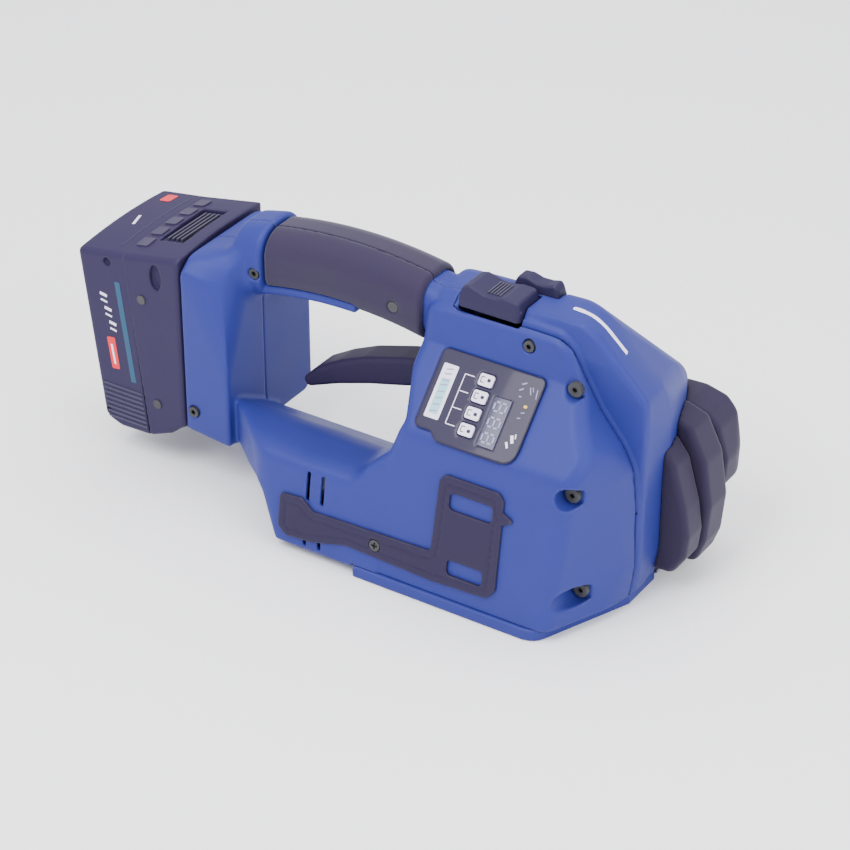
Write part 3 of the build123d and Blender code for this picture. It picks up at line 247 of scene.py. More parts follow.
def moulded(name, field, low, high, step, body, material, slot, nodes=(), keep=1.0):
    """Piece made from a field; keep is the share of faces left after thinning."""
    vertices, faces = net(field, low, high, step * FINE)
    thing = mesh_object(name, vertices, faces)
    if keep < 1.0:
        thin = thing.modifiers.new("thin", "DECIMATE")
        thin.ratio = keep
        deps = bpy.context.evaluated_depsgraph_get()
        thinned = bpy.data.meshes.new_from_object(thing.evaluated_get(deps))
        thing.modifiers.clear()
        thing.data = thinned
        thinned.name = name
        thinned.polygons.foreach_set("use_smooth", np.ones(len(thinned.polygons), bool))
    return finish_piece(thing, body, material, nodes)


def around(node, margin=4.0):
    """Bounds of a CAD node, widened by a margin in millimetres."""
    low, high = box_mm(node)
    return low - margin, high + margin


# ---------------------------------------------------------------- materials
def linear(red, green, blue):
    """Scene colour from display values of 0 to 255."""
    def channel(value):
        share = value / 255
        return share / 12.92 if share <= 0.04045 else ((share + 0.055) / 1.055) ** 2.4
    return (channel(red), channel(green), channel(blue), 1.0)


def surface(name, colour, roughness, metallic=0.0, mottle=0.10, mottle_scale=35.0,
            grain=0.12, grain_scale=1500.0, worn=0.0, brushed=None, coat=0.0, sheen=0.0,
            spread=0.10):
    """Material with a mottled colour, uneven gloss, a fine grain and paler worn edges."""
    material = bpy.data.materials.new(name)
    material.use_nodes = True
    nodes, links = material.node_tree.nodes, material.node_tree.links
    shader = nodes["Principled BSDF"]
    shader.inputs["Metallic"].default_value = metallic
    shader.inputs["Coat Weight"].default_value = coat
    shader.inputs["Sheen Weight"].default_value = sheen
    shader.inputs["Specular IOR Level"].default_value = 0.5 if metallic else 0.2
    place = nodes.new("ShaderNodeTexCoord")
    source = place.outputs["Object"]
    if brushed:
        stretch = nodes.new("ShaderNodeMapping")
        stretch.inputs["Scale"].default_value = brushed
        links.new(source, stretch.inputs["Vector"])
        source = stretch.outputs["Vector"]

    def noise(scale, detail):
        node = nodes.new("ShaderNodeTexNoise")
        node.inputs["Scale"].default_value = scale
        node.inputs["Detail"].default_value = detail
        links.new(source, node.inputs["Vector"])
        return node.outputs["Fac"]

    cloud, grit = noise(mottle_scale, 4.0), noise(grain_scale, 3.0)
    shade = nodes.new("ShaderNodeMix")
    shade.data_type = "RGBA"
    pale = tuple(min(1.0, value * (1 + mottle)) for value in colour[:3]) + (1.0,)
    deep = tuple(value * (1 - mottle) for value in colour[:3]) + (1.0,)
    shade.inputs["A"].default_value, shade.inputs["B"].default_value = deep, pale
    links.new(cloud, shade.inputs["Factor"])
    result = shade.outputs["Result"]
    if worn:
        shape = nodes.new("ShaderNodeNewGeometry")
        ridge = nodes.new("ShaderNodeMapRange")
        ridge.inputs["From Min"].default_value = 0.52
        ridge.inputs["From Max"].default_value = 0.60
        links.new(shape.outputs["Pointiness"], ridge.inputs["Value"])
        patchy = nodes.new("ShaderNodeMath")
        patchy.operation = "MULTIPLY"
        links.new(ridge.outputs["Result"], patchy.inputs[0])
        links.new(cloud, patchy.inputs[1])
        edge = nodes.new("ShaderNodeMix")
        edge.data_type = "RGBA"
        edge.inputs["B"].default_value = tuple(
            value + (1 - value) * worn for value in colour[:3]) + (1.0,)
        links.new(result, edge.inputs["A"])
        links.new(patchy.outputs["Value"], edge.inputs["Factor"])
        result = edge.outputs["Result"]
    links.new(result, shader.inputs["Base Color"])
    gloss = nodes.new("ShaderNodeMapRange")
    gloss.inputs["To Min"].default_value = max(0.03, roughness - spread)
    gloss.inputs["To Max"].default_value = min(1.0, roughness + spread)
    links.new(cloud, gloss.inputs["Value"])
    links.new(gloss.outputs["Result"], shader.inputs["Roughness"])
    bump = nodes.new("ShaderNodeBump")
    bump.inputs["Strength"].default_value = grain
    bump.inputs["Distance"].default_value = 0.0002
    links.new(grit, bump.inputs["Height"])
    links.new(bump.outputs["Normal"], shader.inputs["Normal"])
    return material


BLUE = surface("blue_plastic", linear(38, 45, 118), 0.50, worn=0.05)
GRIP = surface("grip_rubber", linear(36, 27, 54), 0.68, grain=0.25, sheen=0.15)
TRIM = surface("trim_plastic", linear(34, 27, 54), 0.58, worn=0.04)
BUMPER = surface("bumper_rubber", linear(32, 23, 50), 0.70, grain=0.20, sheen=0.10)
PACK = surface("pack_plastic", linear(38, 31, 62), 0.58, grain=0.18, worn=0.05)
BUTTON = surface("button_plastic", linear(33, 28, 58), 0.50, worn=0.06)
FILM = surface("keypad_film", linear(32, 27, 54), 0.38, mottle=0.05, grain=0.03, coat=0.2)
WHITE_PRINT = surface("white_print", linear(226, 222, 240), 0.40, mottle=0.03, grain=0.04)
GREY_PRINT = surface("grey_print", linear(140, 140, 172), 0.45, mottle=0.05, grain=0.04)
CYAN_PRINT = surface("cyan_print", linear(150, 200, 214), 0.42, mottle=0.08, grain=0.04)
DARK_PRINT = surface("dark_print", linear(40, 38, 66), 0.50, mottle=0.06, grain=0.04)
AMBER_PRINT = surface("amber_print", linear(214, 180, 70), 0.35, mottle=0.05, grain=0.03)
TEAL = surface("teal_strip", linear(34, 72, 100), 0.40, mottle=0.06, grain=0.05)
RED = surface("red_badge", linear(210, 40, 48), 0.38, mottle=0.05, grain=0.05)
LENS = surface("display_lens", linear(40, 40, 74), 0.16, mottle=0.04, grain=0.01, coat=0.5)
STEEL = surface("ground_steel", linear(176, 178, 184), 0.30, metallic=1.0, mottle=0.06,
                mottle_scale=60, grain=0.15, grain_scale=900, brushed=(1, 12, 12))
DARK_STEEL = surface("blackened_steel", linear(12, 12, 20), 0.65, metallic=0.1, mottle=0.12,
                     grain=0.2, worn=0.06)
ALLOY = surface("cast_alloy", linear(168, 170, 174), 0.52, metallic=0.9, mottle=0.08,
                grain=0.5, grain_scale=700)
PLATED = surface("plated_can", linear(120, 122, 128), 0.34, metallic=0.95, mottle=0.08,
                 grain=0.1, brushed=(14, 1, 1))
COPPER = surface("copper_winding", linear(176, 104, 62), 0.35, metallic=0.85, mottle=0.2,
                 grain=0.5, grain_scale=500, brushed=(1, 6, 6))
CHROME = surface("bearing_steel", linear(200, 202, 206), 0.14, metallic=1.0, mottle=0.03,
                 grain=0.03)
BELT = surface("belt_rubber", linear(34, 34, 36), 0.75, grain=0.5, grain_scale=900)
BOARD = surface("solder_mask", linear(28, 92, 52), 0.35, mottle=0.15, mottle_scale=160,
                grain=0.2, coat=0.2)
SWITCH = surface("switch_plastic", linear(40, 40, 44), 0.45)
CELL = surface("cell_wrap", linear(60, 132, 112), 0.30, mottle=0.06, coat=0.3)

SLOT_MATERIALS = {
    "housing_blue": BLUE, "grip_dark": GRIP, "trim_dark": TRIM, "bumper_rubber": BUMPER,
    "keypad_film": FILM, "key_white": WHITE_PRINT, "display": LENS, "button_dark": BUTTON,
    "battery_dark": PACK, "cell_wrap": CELL, "steel": STEEL, "dark_steel": DARK_STEEL,
    "cast_alloy": ALLOY, "motor_steel": PLATED, "winding": COPPER, "bearing_steel": CHROME,
    "belt_rubber": BELT, "board_green": BOARD, "switch_plastic": SWITCH,
}
SLOT_OF = {part["node"]: part["material_slot"] for part in frame["record"]["subparts"]}
for node_name, node in frame["nodes"].items():
    node.data.materials.clear()
    node.data.materials.append(SLOT_MATERIALS[SLOT_OF[node_name]])

# ---------------------------------------------------------------- housing outlines
SIDE_LEAN = math.radians(9)
WALL_FOOT_Y = WALL_LOW_Y - 0.8         # the near wall's Y at the floor
HANDLE_R = 240.0
HANDLE_XC = -20.0
HANDLE_TOP_Z = 138.0


def near_wall_y(z):
    """Y of the leaning near wall at a height."""
    return WALL_FOOT_Y + z * math.tan(SIDE_LEAN)


NEAR_SIDE = soft_outline([
    (17, -9, 0), (148, -9, 0), (157.5, 26, 14), (155.5, 63, 10), (152, 83, 12),
    (145, 96, 14), (132, 112, 14), (123, 127, 14), (116, 141, 8), (108, 149, 8),
    (90, 150, 20), (45, 146, 20), (30, 143, 16), (30, 112, 6), (38, 92, 6), (32, 74, 10),
    (17, 60, 12)])
NEAR_SECTION = soft_outline([
    (5, -9, 0), (5, 150, 0), (-12, 150, 2), (-18.5, 142, 6), (-22, 124.6, 5),
    (near_wall_y(90), 90, 14), (near_wall_y(-9), -9, 0)])
NEAR_PLAN = soft_outline([
    (10, 5, 0), (10, -70, 0), (131.3, -70, 12), (157.3, -11.5, 3), (157.3, 5, 0)])
FAR_SIDE = soft_outline([
    (28, -9, 0), (148, -9, 0), (157, 26, 14), (157, 60, 8), (159, 100, 10), (158, 121, 8),
    (148, 131.7, 14), (139.5, 140.3, 14), (126.5, 150.3, 12), (117, 154.1, 8),
    (105, 154.2, 8), (90, 152.6, 14), (45, 148.5, 14), (28, 146, 8)])
FAR_SECTION = soft_outline([
    (-14.5, -9, 0), (-14.5, 136, 2), (-10.5, 154.2, 2.5), (14, 154.2, 12),
    (63, 99, 14), (66, 92, 8), (66, 40, 1.5), (14, 40, 1), (14, -9, 0)])
FAR_PLAN = soft_outline([
    (28, -14.5, 0), (158, -14.5, 0), (158, 12, 8), (147, 46, 14), (138, 66, 14),
    (45, 66, 12), (28, 25, 10)])
STRUT_SIDE = soft_outline([
    (-86, 58, 0), (-50, 56.5, 14), (-20, 55, 20), (10, 56, 15), (32, 60, 0), (32, FLOOR_Z, 0),
    (17, FLOOR_Z, 0), (17, 2, 0), (-31, 2, 4), (-45, 31, 8), (-60, 28, 10), (-86, 28, 0)])
STRUT_SECTION = soft_outline([
    (near_wall_y(2), 2, 0), (near_wall_y(52), 52, 10), (-51, 59, 10), (-34, 58, 14),
    (-9, 44, 12), (6, 34, 8), (9, 26, 5), (9, 2, 0)])
STRUT_PLAN = soft_outline([
    (-86, -33, 0), (-79, -33, 10), (-44, -63, 14), (-33, -70, 8), (32, -70, 0), (32, 9, 0),
    (-86, 9, 0)])
HOLDER_SIDE = soft_outline([
    (-110, 31, 1), (-79.6, 27.5, 2.5), (-79.6, 141, 6), (-92, 137.5, 6), (-110, 134, 1)])
HOLDER_SECTION = soft_outline([
    (-39.8, 27, 3), (-39.8, 127, 5), (-31, 134, 4), (-15, 140, 6), (15, 140, 6),
    (31, 134, 4), (39.8, 127, 5), (39.8, 34, 3), (33, 27, 3)])
HOLDER_PLAN = soft_outline([
    (-110, -39.8, 1.2), (-79.6, -39.8, 3), (-79.6, 39.8, 3), (-110, 39.8, 1.2)])


def handle_bar(x, y, z, size, corner):
    """Rounded bar along the handle's arch, endless in X."""
    across = np.abs(y) - size[0] / 2 + corner
    rise = np.hypot(x - HANDLE_XC, z - (HANDLE_TOP_Z - HANDLE_R)) - HANDLE_R
    upright = np.abs(rise) - size[1] / 2 + corner
    outside = np.hypot(np.maximum(across, 0), np.maximum(upright, 0))
    return outside + np.minimum(np.maximum(across, upright), 0) - corner


def handle_rise(x, z):
    """Height above the handle's centre line, square to it."""
    return np.hypot(x - HANDLE_XC, z - (HANDLE_TOP_Z - HANDLE_R)) - HANDLE_R


def plane_through(x, y, z, first, second, third):
    """Distance in front of a plane given by three points."""
    first, second, third = (np.array(point, float) for point in (first, second, third))
    normal = np.cross(second - first, third - first)
    normal /= np.linalg.norm(normal)
    return (x - first[0]) * normal[0] + (y - first[1]) * normal[1] + (z - first[2]) * normal[2]


def holder(x, y, z):
    """The blue frame that the battery slides on, its front corners cut towards the handle."""
    shape = block(x, y, z, HOLDER_SIDE, HOLDER_SECTION, HOLDER_PLAN, 3)
    facet = plane_through(x, y, z, (-80, -39.8, 88), (-80, -22, 130), (-100, -39.8, 130))
    return both(shape, facet, 9)


def far_block(x, y, z):
    """The left side of the body, with the band along its crest and a cut far shoulder."""
    shape = block(x, y, z, FAR_SIDE, FAR_SECTION, FAR_PLAN, 5)
    shoulder = plane_through(x, y, z, (120, 6, 152), (132.4, -0.8, 143.6), (141.3, 29.6, 119.8))
    return both(shape, shoulder, 8)


def housing(x, y, z):
    """Outside of both blue shells."""
    body = either(block(x, y, z, NEAR_SIDE, NEAR_SECTION, NEAR_PLAN, 6), far_block(x, y, z), 1.5)
    strut = block(x, y, z, STRUT_SIDE, STRUT_SECTION, STRUT_PLAN, 4)
    body = both(either(body, strut, 7), np.maximum(5 - z, np.minimum(FLOOR_Z - z, x - 17)))
    body = both(body, (near_wall_y(z) - y) * math.cos(SIDE_LEAN))
    core = both(handle_bar(x, y, z, (29, 30), 10), slab(x, -86, 36))
    collar = both(handle_bar(x, y, z, (40, 41), 15), slab(x, -90, -71), 3)
    frame_end = either(holder(x, y, z), collar, 6)
    body = either(body, frame_end, 3)
    rail = both(both(slab(handle_rise(x, z), -17.6, -12), slab(y, -15.5, -8), 2),
                slab(x, -76, -14), 2)
    return either(either(body, core), rail)


def seam_side(x, y):
    """Negative on the near side of the step in the clamshell's seam."""
    return either(np.maximum(y + 5, x - 45), y - SEAM_FRONT)


SHELL_SCREWS = [(-103.4, 44.0, -37.0, 3.3), (-75.5, 127.5, -16.0, 3.3), (92.0, 137.0, -16.5, 3.6),
                (121.5, 124.0, -21.0, 5.4), (136.0, 81.0, -46.0, 6.0), (139.0, 22.0, -40.0, 6.0)]

# ---------------------------------------------------------------- keypad plane
KEY_AXIS = np.array(JOINTS["key_1_press"]["axis"])
PANEL_NORMAL = -KEY_AXIS / np.linalg.norm(KEY_AXIS)
PANEL_UP = np.cross(PANEL_NORMAL, (1, 0, 0))
PANEL_LOW, PANEL_HIGH = box_mm("keypad_panel")
PANEL_CENTRE = (PANEL_LOW + PANEL_HIGH) / 2 + 0.2 * PANEL_NORMAL
PANEL_FACE = 0.8                       # its printed face, above the plane through its centre
PANEL_OUTLINE = [(-30.3, 24, 4), (30.3, 24, 4), (30.3, -24, 9), (-15, -24, 3), (-20, -19.5, 2),
                 (-30.3, -19.5, 4)]


def panel_coordinates(x, y, z):
    """Along X, up the slope and out of the keypad's face."""
    dy, dz = y - PANEL_CENTRE[1], z - PANEL_CENTRE[2]
    return (x - PANEL_CENTRE[0], dy * PANEL_UP[1] + dz * PANEL_UP[2],
            dy * PANEL_NORMAL[1] + dz * PANEL_NORMAL[2])


def on_panel(u, v, w):
    """Point in the frame from keypad coordinates."""
    return PANEL_CENTRE + np.array((u, 0, 0)) + v * PANEL_UP + w * PANEL_NORMAL


TENSION_LOW, TENSION_HIGH = box_mm("tension_button")
WELD_LOW, WELD_HIGH = box_mm("weld_button")
BUTTON_PLAY = 0.5


def button_openings(x, y, z):
    """Where the two caps pass through the top."""
    result = None
    for low, high in ((TENSION_LOW, TENSION_HIGH), (WELD_LOW, WELD_HIGH)):
        hole = cuboid(x, y, z, (low[0] - BUTTON_PLAY, low[1] - BUTTON_PLAY, 142.5),
                      (high[0] + BUTTON_PLAY, high[1] + BUTTON_PLAY, 170), 1)
        result = hole if result is None else either(result, hole)
    return result


def seam_groove(x, y, outside):
    """Shallow groove along the seam from the buttons to the nose."""
    groove = both(np.abs(seam_side(x, y)) - 0.75, 46 - x)
    return both(groove, -outside - 1.2)


def right_shell(x, y, z):
    """Near half of the clamshell with its screw bores, vents and keypad recess."""
    outside = housing(x, y, z)
    shell = without(outside, outside + WALL)
    for bore_x, bore_z, seat_y, radius in SHELL_SCREWS:
        boss = both(y_cylinder(x, z, (bore_x, bore_z), radius + 1.6), y)
        shell = either(shell, both(boss, outside))
    shell = both(shell, seam_side(x, y) + 0.12)
    shell = without(shell, seam_groove(x, y, outside), 0.4)
    for bore_x, bore_z, seat_y, radius in SHELL_SCREWS:
        bore = both(y_cylinder(x, z, (bore_x, bore_z), radius), y - seat_y)
        shell = without(shell, bore, 0.8)
    u, v, w = panel_coordinates(x, y, z)
    recess = both(outline_field(soft_outline(PANEL_OUTLINE), u, v), slab(w, -1.0, 20))
    shell = without(shell, recess, 0.6)
    thumb = cuboid(u, v, w, (-30, -31, -1.4), (-19, -25, 20), 2)
    shell = without(shell, thumb, 1.5)
    for slot_x in (-13.0, -4.0):
        for slot_z, slot_h in ((41.0, 17.0), (9.5, 5.0)):
            vent = cuboid(x, y, z, (slot_x - 1, -90, slot_z - slot_h / 2),
                          (slot_x + 1, -50, slot_z + slot_h / 2), 0.9)
            shell = without(shell, vent, 0.5)
    shell = without(shell, cuboid(x, y, z, (20, -11, 79), (40, 0, 111)))
    return without(shell, button_openings(x, y, z), 0.5)


def left_shell(x, y, z):
    """Far half of the clamshell, open over the strap channel."""
    outside = housing(x, y, z)
    shell = without(outside, outside + WALL)
    shell = without(shell, seam_side(x, y) - 0.12)
    shell = without(shell, seam_groove(x, y, outside), 0.4)
    shell = without(shell, cuboid(x, y, z, (48, 14.1, 20), (154, 66 - WALL, 50)))
    shell = without(shell, cuboid(x, y, z, (20, -14, 79), (40, 11, 111)))
    for centre, radius in (((86, 33), 6.5), ((57, 24), 9.0)):
        shell = without(shell, both(y_cylinder(x, z, centre, radius), slab(y, 5, 20)))
    return without(shell, button_openings(x, y, z), 0.5)


moulded("right_shell", right_shell, *around("right_housing"), 0.9, "tool_body", BLUE,
        "housing_blue", ["right_housing"], keep=0.5)
moulded("left_shell", left_shell, *around("left_housing"), 0.9, "tool_body", BLUE,
        "housing_blue", ["left_housing"], keep=0.5)


def cover_plate(x, y, z):
    """Flat cover under the near side of the body."""
    plan = soft_outline([(17.5, 14, 1), (17.5, -69, 2), (127.5, -69, 12), (151.2, -13, 4),
                         (151.2, 14, 1)])
    return both(outline_field(plan, x, y), slab(z, 0, FLOOR_Z - 0.1), 0.7)


moulded("bottom_plate", cover_plate, *around("bottom_cover"), 0.9, "tool_body", BLUE,
        "housing_blue", ["bottom_cover"], keep=0.4)

# ---------------------------------------------------------------- grips and lever
STRIP_HALF_W = 8.0
STRIP_TOP = -13.5


def grip(x, y, z):
    """Soft sleeve round the handle's core."""
    sleeve = both(handle_bar(x, y, z, (36, 37), 14), slab(x, -70, 27), 2.2)
    sleeve = without(sleeve, handle_bar(x, y, z, (29.4, 30.4), 10))
    rise = handle_rise(x, z)
    groove = both(slab(y, -STRIP_HALF_W - 0.2, STRIP_HALF_W + 0.2), rise - STRIP_TOP)
    sleeve = without(sleeve, groove, 0.5)
    rail = both(both(slab(rise, -30, -11.6), y + 7.6), slab(x, -80, -13.6), 3)
    sleeve = without(sleeve, rail, 0.6)
    screw = both(y_cylinder(x, z, (10.5, 133.4), 3.3), y + 16.6)
    return without(sleeve, screw, 0.6)


def right_grip(x, y, z):
    """Near half of the sleeve."""
    return both(grip(x, y, z), y + 5.15, 0.5)


def left_grip(x, y, z):
    """Far half of the sleeve."""
    return both(grip(x, y, z), -4.85 - y, 0.5)


def under_strip(x, y, z):
    """Dark strip along the underside of the handle."""
    strip = both(handle_bar(x, y, z, (36, 38.5), 14), slab(x, -68, 19), 1.5)
    strip = both(strip, slab(y, -STRIP_HALF_W, STRIP_HALF_W), 1)
    return both(strip, handle_rise(x, z) - STRIP_TOP - 0.3)


moulded("grip_near", right_grip, *around("grip_right"), 0.75, "tool_body", GRIP,
        "grip_dark", ["grip_right"], keep=0.6)
moulded("grip_far", left_grip, *around("grip_left"), 0.75, "tool_body", GRIP,
        "grip_dark", ["grip_left"], keep=0.6)
moulded("grip_under", under_strip, *around("grip_strip"), 0.75, "tool_body", TRIM,
        "grip_dark", ["grip_strip"], keep=0.6)

LEVER_SIDE = soft_outline([
    (-53.7, 66, 3), (-44, 75.7, 6), (-30, 84, 20), (-14.6, 90.9, 20), (8.4, 97.9, 20),
    (21.5, 101.1, 10), (36, 104, 6), (36, 90, 6), (24, 88, 6), (14.1, 82.5, 20),
    (-10.9, 75.7, 20), (-30, 69.5, 20), (-50.3, 61.3, 3)])


def lever_blade(x, y, z):
    """Curved lift lever, hollow underneath, with a hub on its pin."""
    blade = both(outline_field(LEVER_SIDE, x, z), np.abs(y) - 9, 2.6)
    hub = both(y_cylinder(x, z, (PIVOT_X, PIVOT_Z), 8), np.abs(y) - 4.5, 0.5)
    blade = without(blade, both(28 - x, 4.5 - np.abs(y)), 0.5)
    blade = either(blade, hub)
    pocket = both(both(outline_field(LEVER_SIDE, x, z) + 3.2, np.abs(y) - 5.8), x - 12, 2)
    blade = without(blade, both(pocket, z - 70 - 0.33 * (x + 30)), 0.5)
    return without(blade, y_cylinder(x, z, (PIVOT_X, PIVOT_Z), 3.05))


def lever_finger(x, y, z):
    """The lever's short arm, which pushes the rocker's pin."""
    foot = np.array((55.4, 73.6))
    along = np.array((50.0, -65.0)) / math.hypot(50, 65)
    reach = (x - PIVOT_X) * along[0] + (z - PIVOT_Z) * along[1]
    side = -(x - PIVOT_X) * along[1] + (z - PIVOT_Z) * along[0]
    limit = (foot - (PIVOT_X, PIVOT_Z)) @ along + 5
    return both(both(slab(reach, 0, limit), slab(side, 0.5, 7.5), 0.6), np.abs(y) - 4.5, 0.4)


def lever_shape(x, y, z):
    """The whole lever with the hole for its pin."""
    return without(either(lever_blade(x, y, z), lever_finger(x, y, z), 1),
                   y_cylinder(x, z, (PIVOT_X, PIVOT_Z), 3.05))


moulded("lift_lever", lever_shape, *around("lever"), 0.7, "lever", TRIM, "trim_dark",
        ["lever"], keep=0.7)

# ---------------------------------------------------------------- bumpers
BUMPERS = {
    "bumper_inner": ((6.1, 23.9), [
        (140, 11, 2), (164, 12, 6), (171, 23, 8), (172.5, 36, 10), (170, 52, 14), (163, 76, 10),
        (155, 86, 6), (140, 86, 2)]),
    "bumper_middle": ((24.1, 44.9), [
        (130, 10, 2), (168, 10, 6), (173, 24, 10), (175, 46, 14), (171, 71, 14),
        (162, 89, 6), (150, 93, 6), (130, 91, 2)]),
    "bumper_outer": ((45.1, SIDE_Y), [
        (124, 38, 4), (165, 38, 8), (171, 47, 8), (172.5, 62, 12), (167, 80, 8), (160, 87, 7),
        (148, 90, 7), (124, 89, 4)]),
}
BUMPER_PLAN = soft_outline([
    (150, 0, 0), (190, 0, 0), (190, 30, 0), (168, SIDE_Y, 14), (124, SIDE_Y, 5),
    (124, 60, 0), (138, 40, 0)])
for bumper_name, ((y_low, y_high), side_corners) in BUMPERS.items():
    bumper_side = soft_outline(side_corners)

    def bumper(x, y, z, y_low=y_low, y_high=y_high, bumper_side=bumper_side):
        shape = both(outline_field(bumper_side, x, z), slab(y, y_low, y_high), 3.2)
        shape = both(shape, outline_field(BUMPER_PLAN, x, y), 3)
        wall = both(outline_field(FAR_SIDE, x, z), outline_field(FAR_PLAN, x, y), 5)
        return without(shape, wall - 0.25)

    moulded(bumper_name + "_rib", bumper, *around(bumper_name), 0.8, "tool_body", BUMPER,
            "bumper_rubber", [bumper_name], keep=0.6)

# ---------------------------------------------------------------- side trim
TRIM_OUTLINE = soft_outline([
    (-29, 34, 3), (-15, 35, 2), (-8, 29.5, 3), (64, 31.5, 3), (65.5, 72, 3), (69, 76, 3),
    (100, 76, 3), (103.5, 72, 3), (103.5, 66, 1), (111, 62.5, 2), (103.5, 59, 1),
    (103.5, 22, 4), (99, 16.5, 3), (66, 15, 3), (14, 17, 4), (-8, 11.5, 3), (-24, 10.5, 3),
    (-29, 15, 3)])
TRIM_PROUD = 1.8
WALL_ORIGIN_Y = -69.5


def wall_coordinates(y, z):
    """Up the leaning near wall and out from it."""
    sine, cosine = math.sin(SIDE_LEAN), math.cos(SIDE_LEAN)
    return (y - WALL_ORIGIN_Y) * sine + z * cosine, z * sine - (y - WALL_ORIGIN_Y) * cosine


def trim_plate(x, y, z):
    """Dark plate on the near wall, bevelled, with two windows and a screw hole."""
    up, out = wall_coordinates(y, z)
    shape = both(outline_field(TRIM_OUTLINE, x, up), slab(out, -0.4, TRIM_PROUD), 0.9)
    for centre, size in (((85, 62.5), (25, 9.5)), ((85, 26), (21, 8.5))):
        window = cuboid(x, up, out, (centre[0] - size[0] / 2, centre[1] - size[1] / 2, -9),
                        (centre[0] + size[0] / 2, centre[1] + size[1] / 2, 9), 2.5)
        shape = without(shape, window, 0.5)
    panel_line = np.abs(outline_field(TRIM_OUTLINE, x, up) + 4.5) - 0.45
    shape = without(shape, both(panel_line, -out + TRIM_PROUD - 0.5))
    return without(shape, both(np.hypot(x - 31, up - 23) - 3.4, -out), 0.4)


moulded("near_trim", trim_plate, *around("side_trim"), 0.7, "tool_body", TRIM, "trim_dark",
        ["side_trim"], keep=0.6)


# ---------------------------------------------------------------- flat pieces and prints
def rounded(a, b, width, height, radius):
    """Corners of a rounded rectangle about (a, b)."""
    half_w, half_h = width / 2, height / 2
    return soft_outline([(a - half_w, b - half_h, radius), (a + half_w, b - half_h, radius),
                         (a + half_w, b + half_h, radius), (a - half_w, b + half_h, radius)])


def bar(start, end, width):
    """Straight bar between two points."""
    start, end = np.array(start, float), np.array(end, float)
    along = (end - start) / np.linalg.norm(end - start)
    side = np.array((-along[1], along[0])) * width / 2
    return [tuple(start + side), tuple(start - side), tuple(end - side), tuple(end + side)]


def plates(name, outlines, low, high, place, body, material, nodes=()):
    """Flat shapes with outlines (a, b), standing from low to high."""
    vertices, polygons = [], []
    for outline in outlines:
        base, count = len(vertices), len(outline)
        for c in (low, high):
            vertices.extend(tuple(np.array(place(a, b, c)) * MM) for a, b in outline)
        polygons.append(list(range(base + count - 1, base - 1, -1)))
        polygons.append(list(range(base + count, base + 2 * count)))
        for i in range(count):
            j = (i + 1) % count
            polygons.append([base + i, base + j, base + count + j, base + count + i])
    mesh = bpy.data.meshes.new(name)
    mesh.from_pydata(vertices, [], polygons)
    thing = bpy.data.objects.new(name, mesh)
    bpy.context.scene.collection.objects.link(thing)
    build = bmesh.new()
    build.from_mesh(mesh)
    bmesh.ops.recalc_face_normals(build, faces=build.faces)
    build.to_mesh(mesh)
    build.free()
    return finish_piece(thing, body, material, nodes)


# ---------------------------------------------------------------- keypad
KEY_CENTRES = []
for key_number in (1, 2, 3, 4):
    key_low, key_high = box_mm("key_%d" % key_number)
    key_u, key_v, _ = panel_coordinates(*((key_low + key_high) / 2))
    KEY_CENTRES.append((key_u, key_v))
GLASS_LOW, GLASS_HIGH = box_mm("display_window")
GLASS_U, GLASS_V, _ = panel_coordinates(*((GLASS_LOW + GLASS_HIGH) / 2))
GLASS_W, GLASS_H = GLASS_HIGH[0] - GLASS_LOW[0], 26.0


def keypad_sheet(x, y, z):
    """Membrane with openings for the four keys and the display."""
    u, v, w = panel_coordinates(x, y, z)
    inner = outline_field(soft_outline(PANEL_OUTLINE), u, v) + 0.25
    sheet = both(inner, slab(w, -0.95, PANEL_FACE), 0.5)
    for key_u, key_v in KEY_CENTRES:
        hole = both(np.abs(u - key_u) - 4.35, np.abs(v - key_v) - 3.45, 1.2)
        sheet = without(sheet, hole, 0.3)
    window = both(np.abs(u - GLASS_U) - GLASS_W / 2, np.abs(v - GLASS_V) - GLASS_H / 2, 0.6)
    return without(sheet, window)


moulded("keypad_sheet", keypad_sheet, *around("keypad_panel"), 0.55, "tool_body", FILM,
        "keypad_film", ["keypad_panel"], keep=0.4)

PRINT_LOW, PRINT_HIGH = PANEL_FACE - 0.2, PANEL_FACE + 0.12
STRIP_U, STRIP_V, STRIP_W, STRIP_H = -22.0, 1.4, 8.6, 29.0
plates("strip_back", [rounded(STRIP_U, STRIP_V, STRIP_W, STRIP_H, 0.8)], PRINT_LOW, PRINT_HIGH,
       on_panel, "tool_body", WHITE_PRINT)
plates("strip_field", [rounded(STRIP_U, STRIP_V - 2.5, STRIP_W - 3.4, STRIP_H - 10, 0.5)],
       PRINT_HIGH - 0.05, PRINT_HIGH + 0.06, on_panel, "tool_body", CYAN_PRINT)
marks = [bar((STRIP_U - 1.9, STRIP_V + step), (STRIP_U + 1.9, STRIP_V + step + 0.9), 0.7)
         for step in (11.5, 9.0, 5.5, 3.0, -0.5, -4.0, -7.5, -11.0)]
plates("strip_marks", marks, PRINT_HIGH, PRINT_HIGH + 0.1, on_panel, "tool_body", GREY_PRINT)
BRACKET_U = -13.2
bracket = [bar((BRACKET_U, KEY_CENTRES[-1][1]), (BRACKET_U, KEY_CENTRES[0][1]), 0.45)]
bracket += [bar((BRACKET_U, key_v), (BRACKET_U + 5.5, key_v), 0.45) for _, key_v in KEY_CENTRES]
plates("bracket_lines", bracket, PRINT_LOW, PRINT_HIGH, on_panel, "tool_body", WHITE_PRINT)

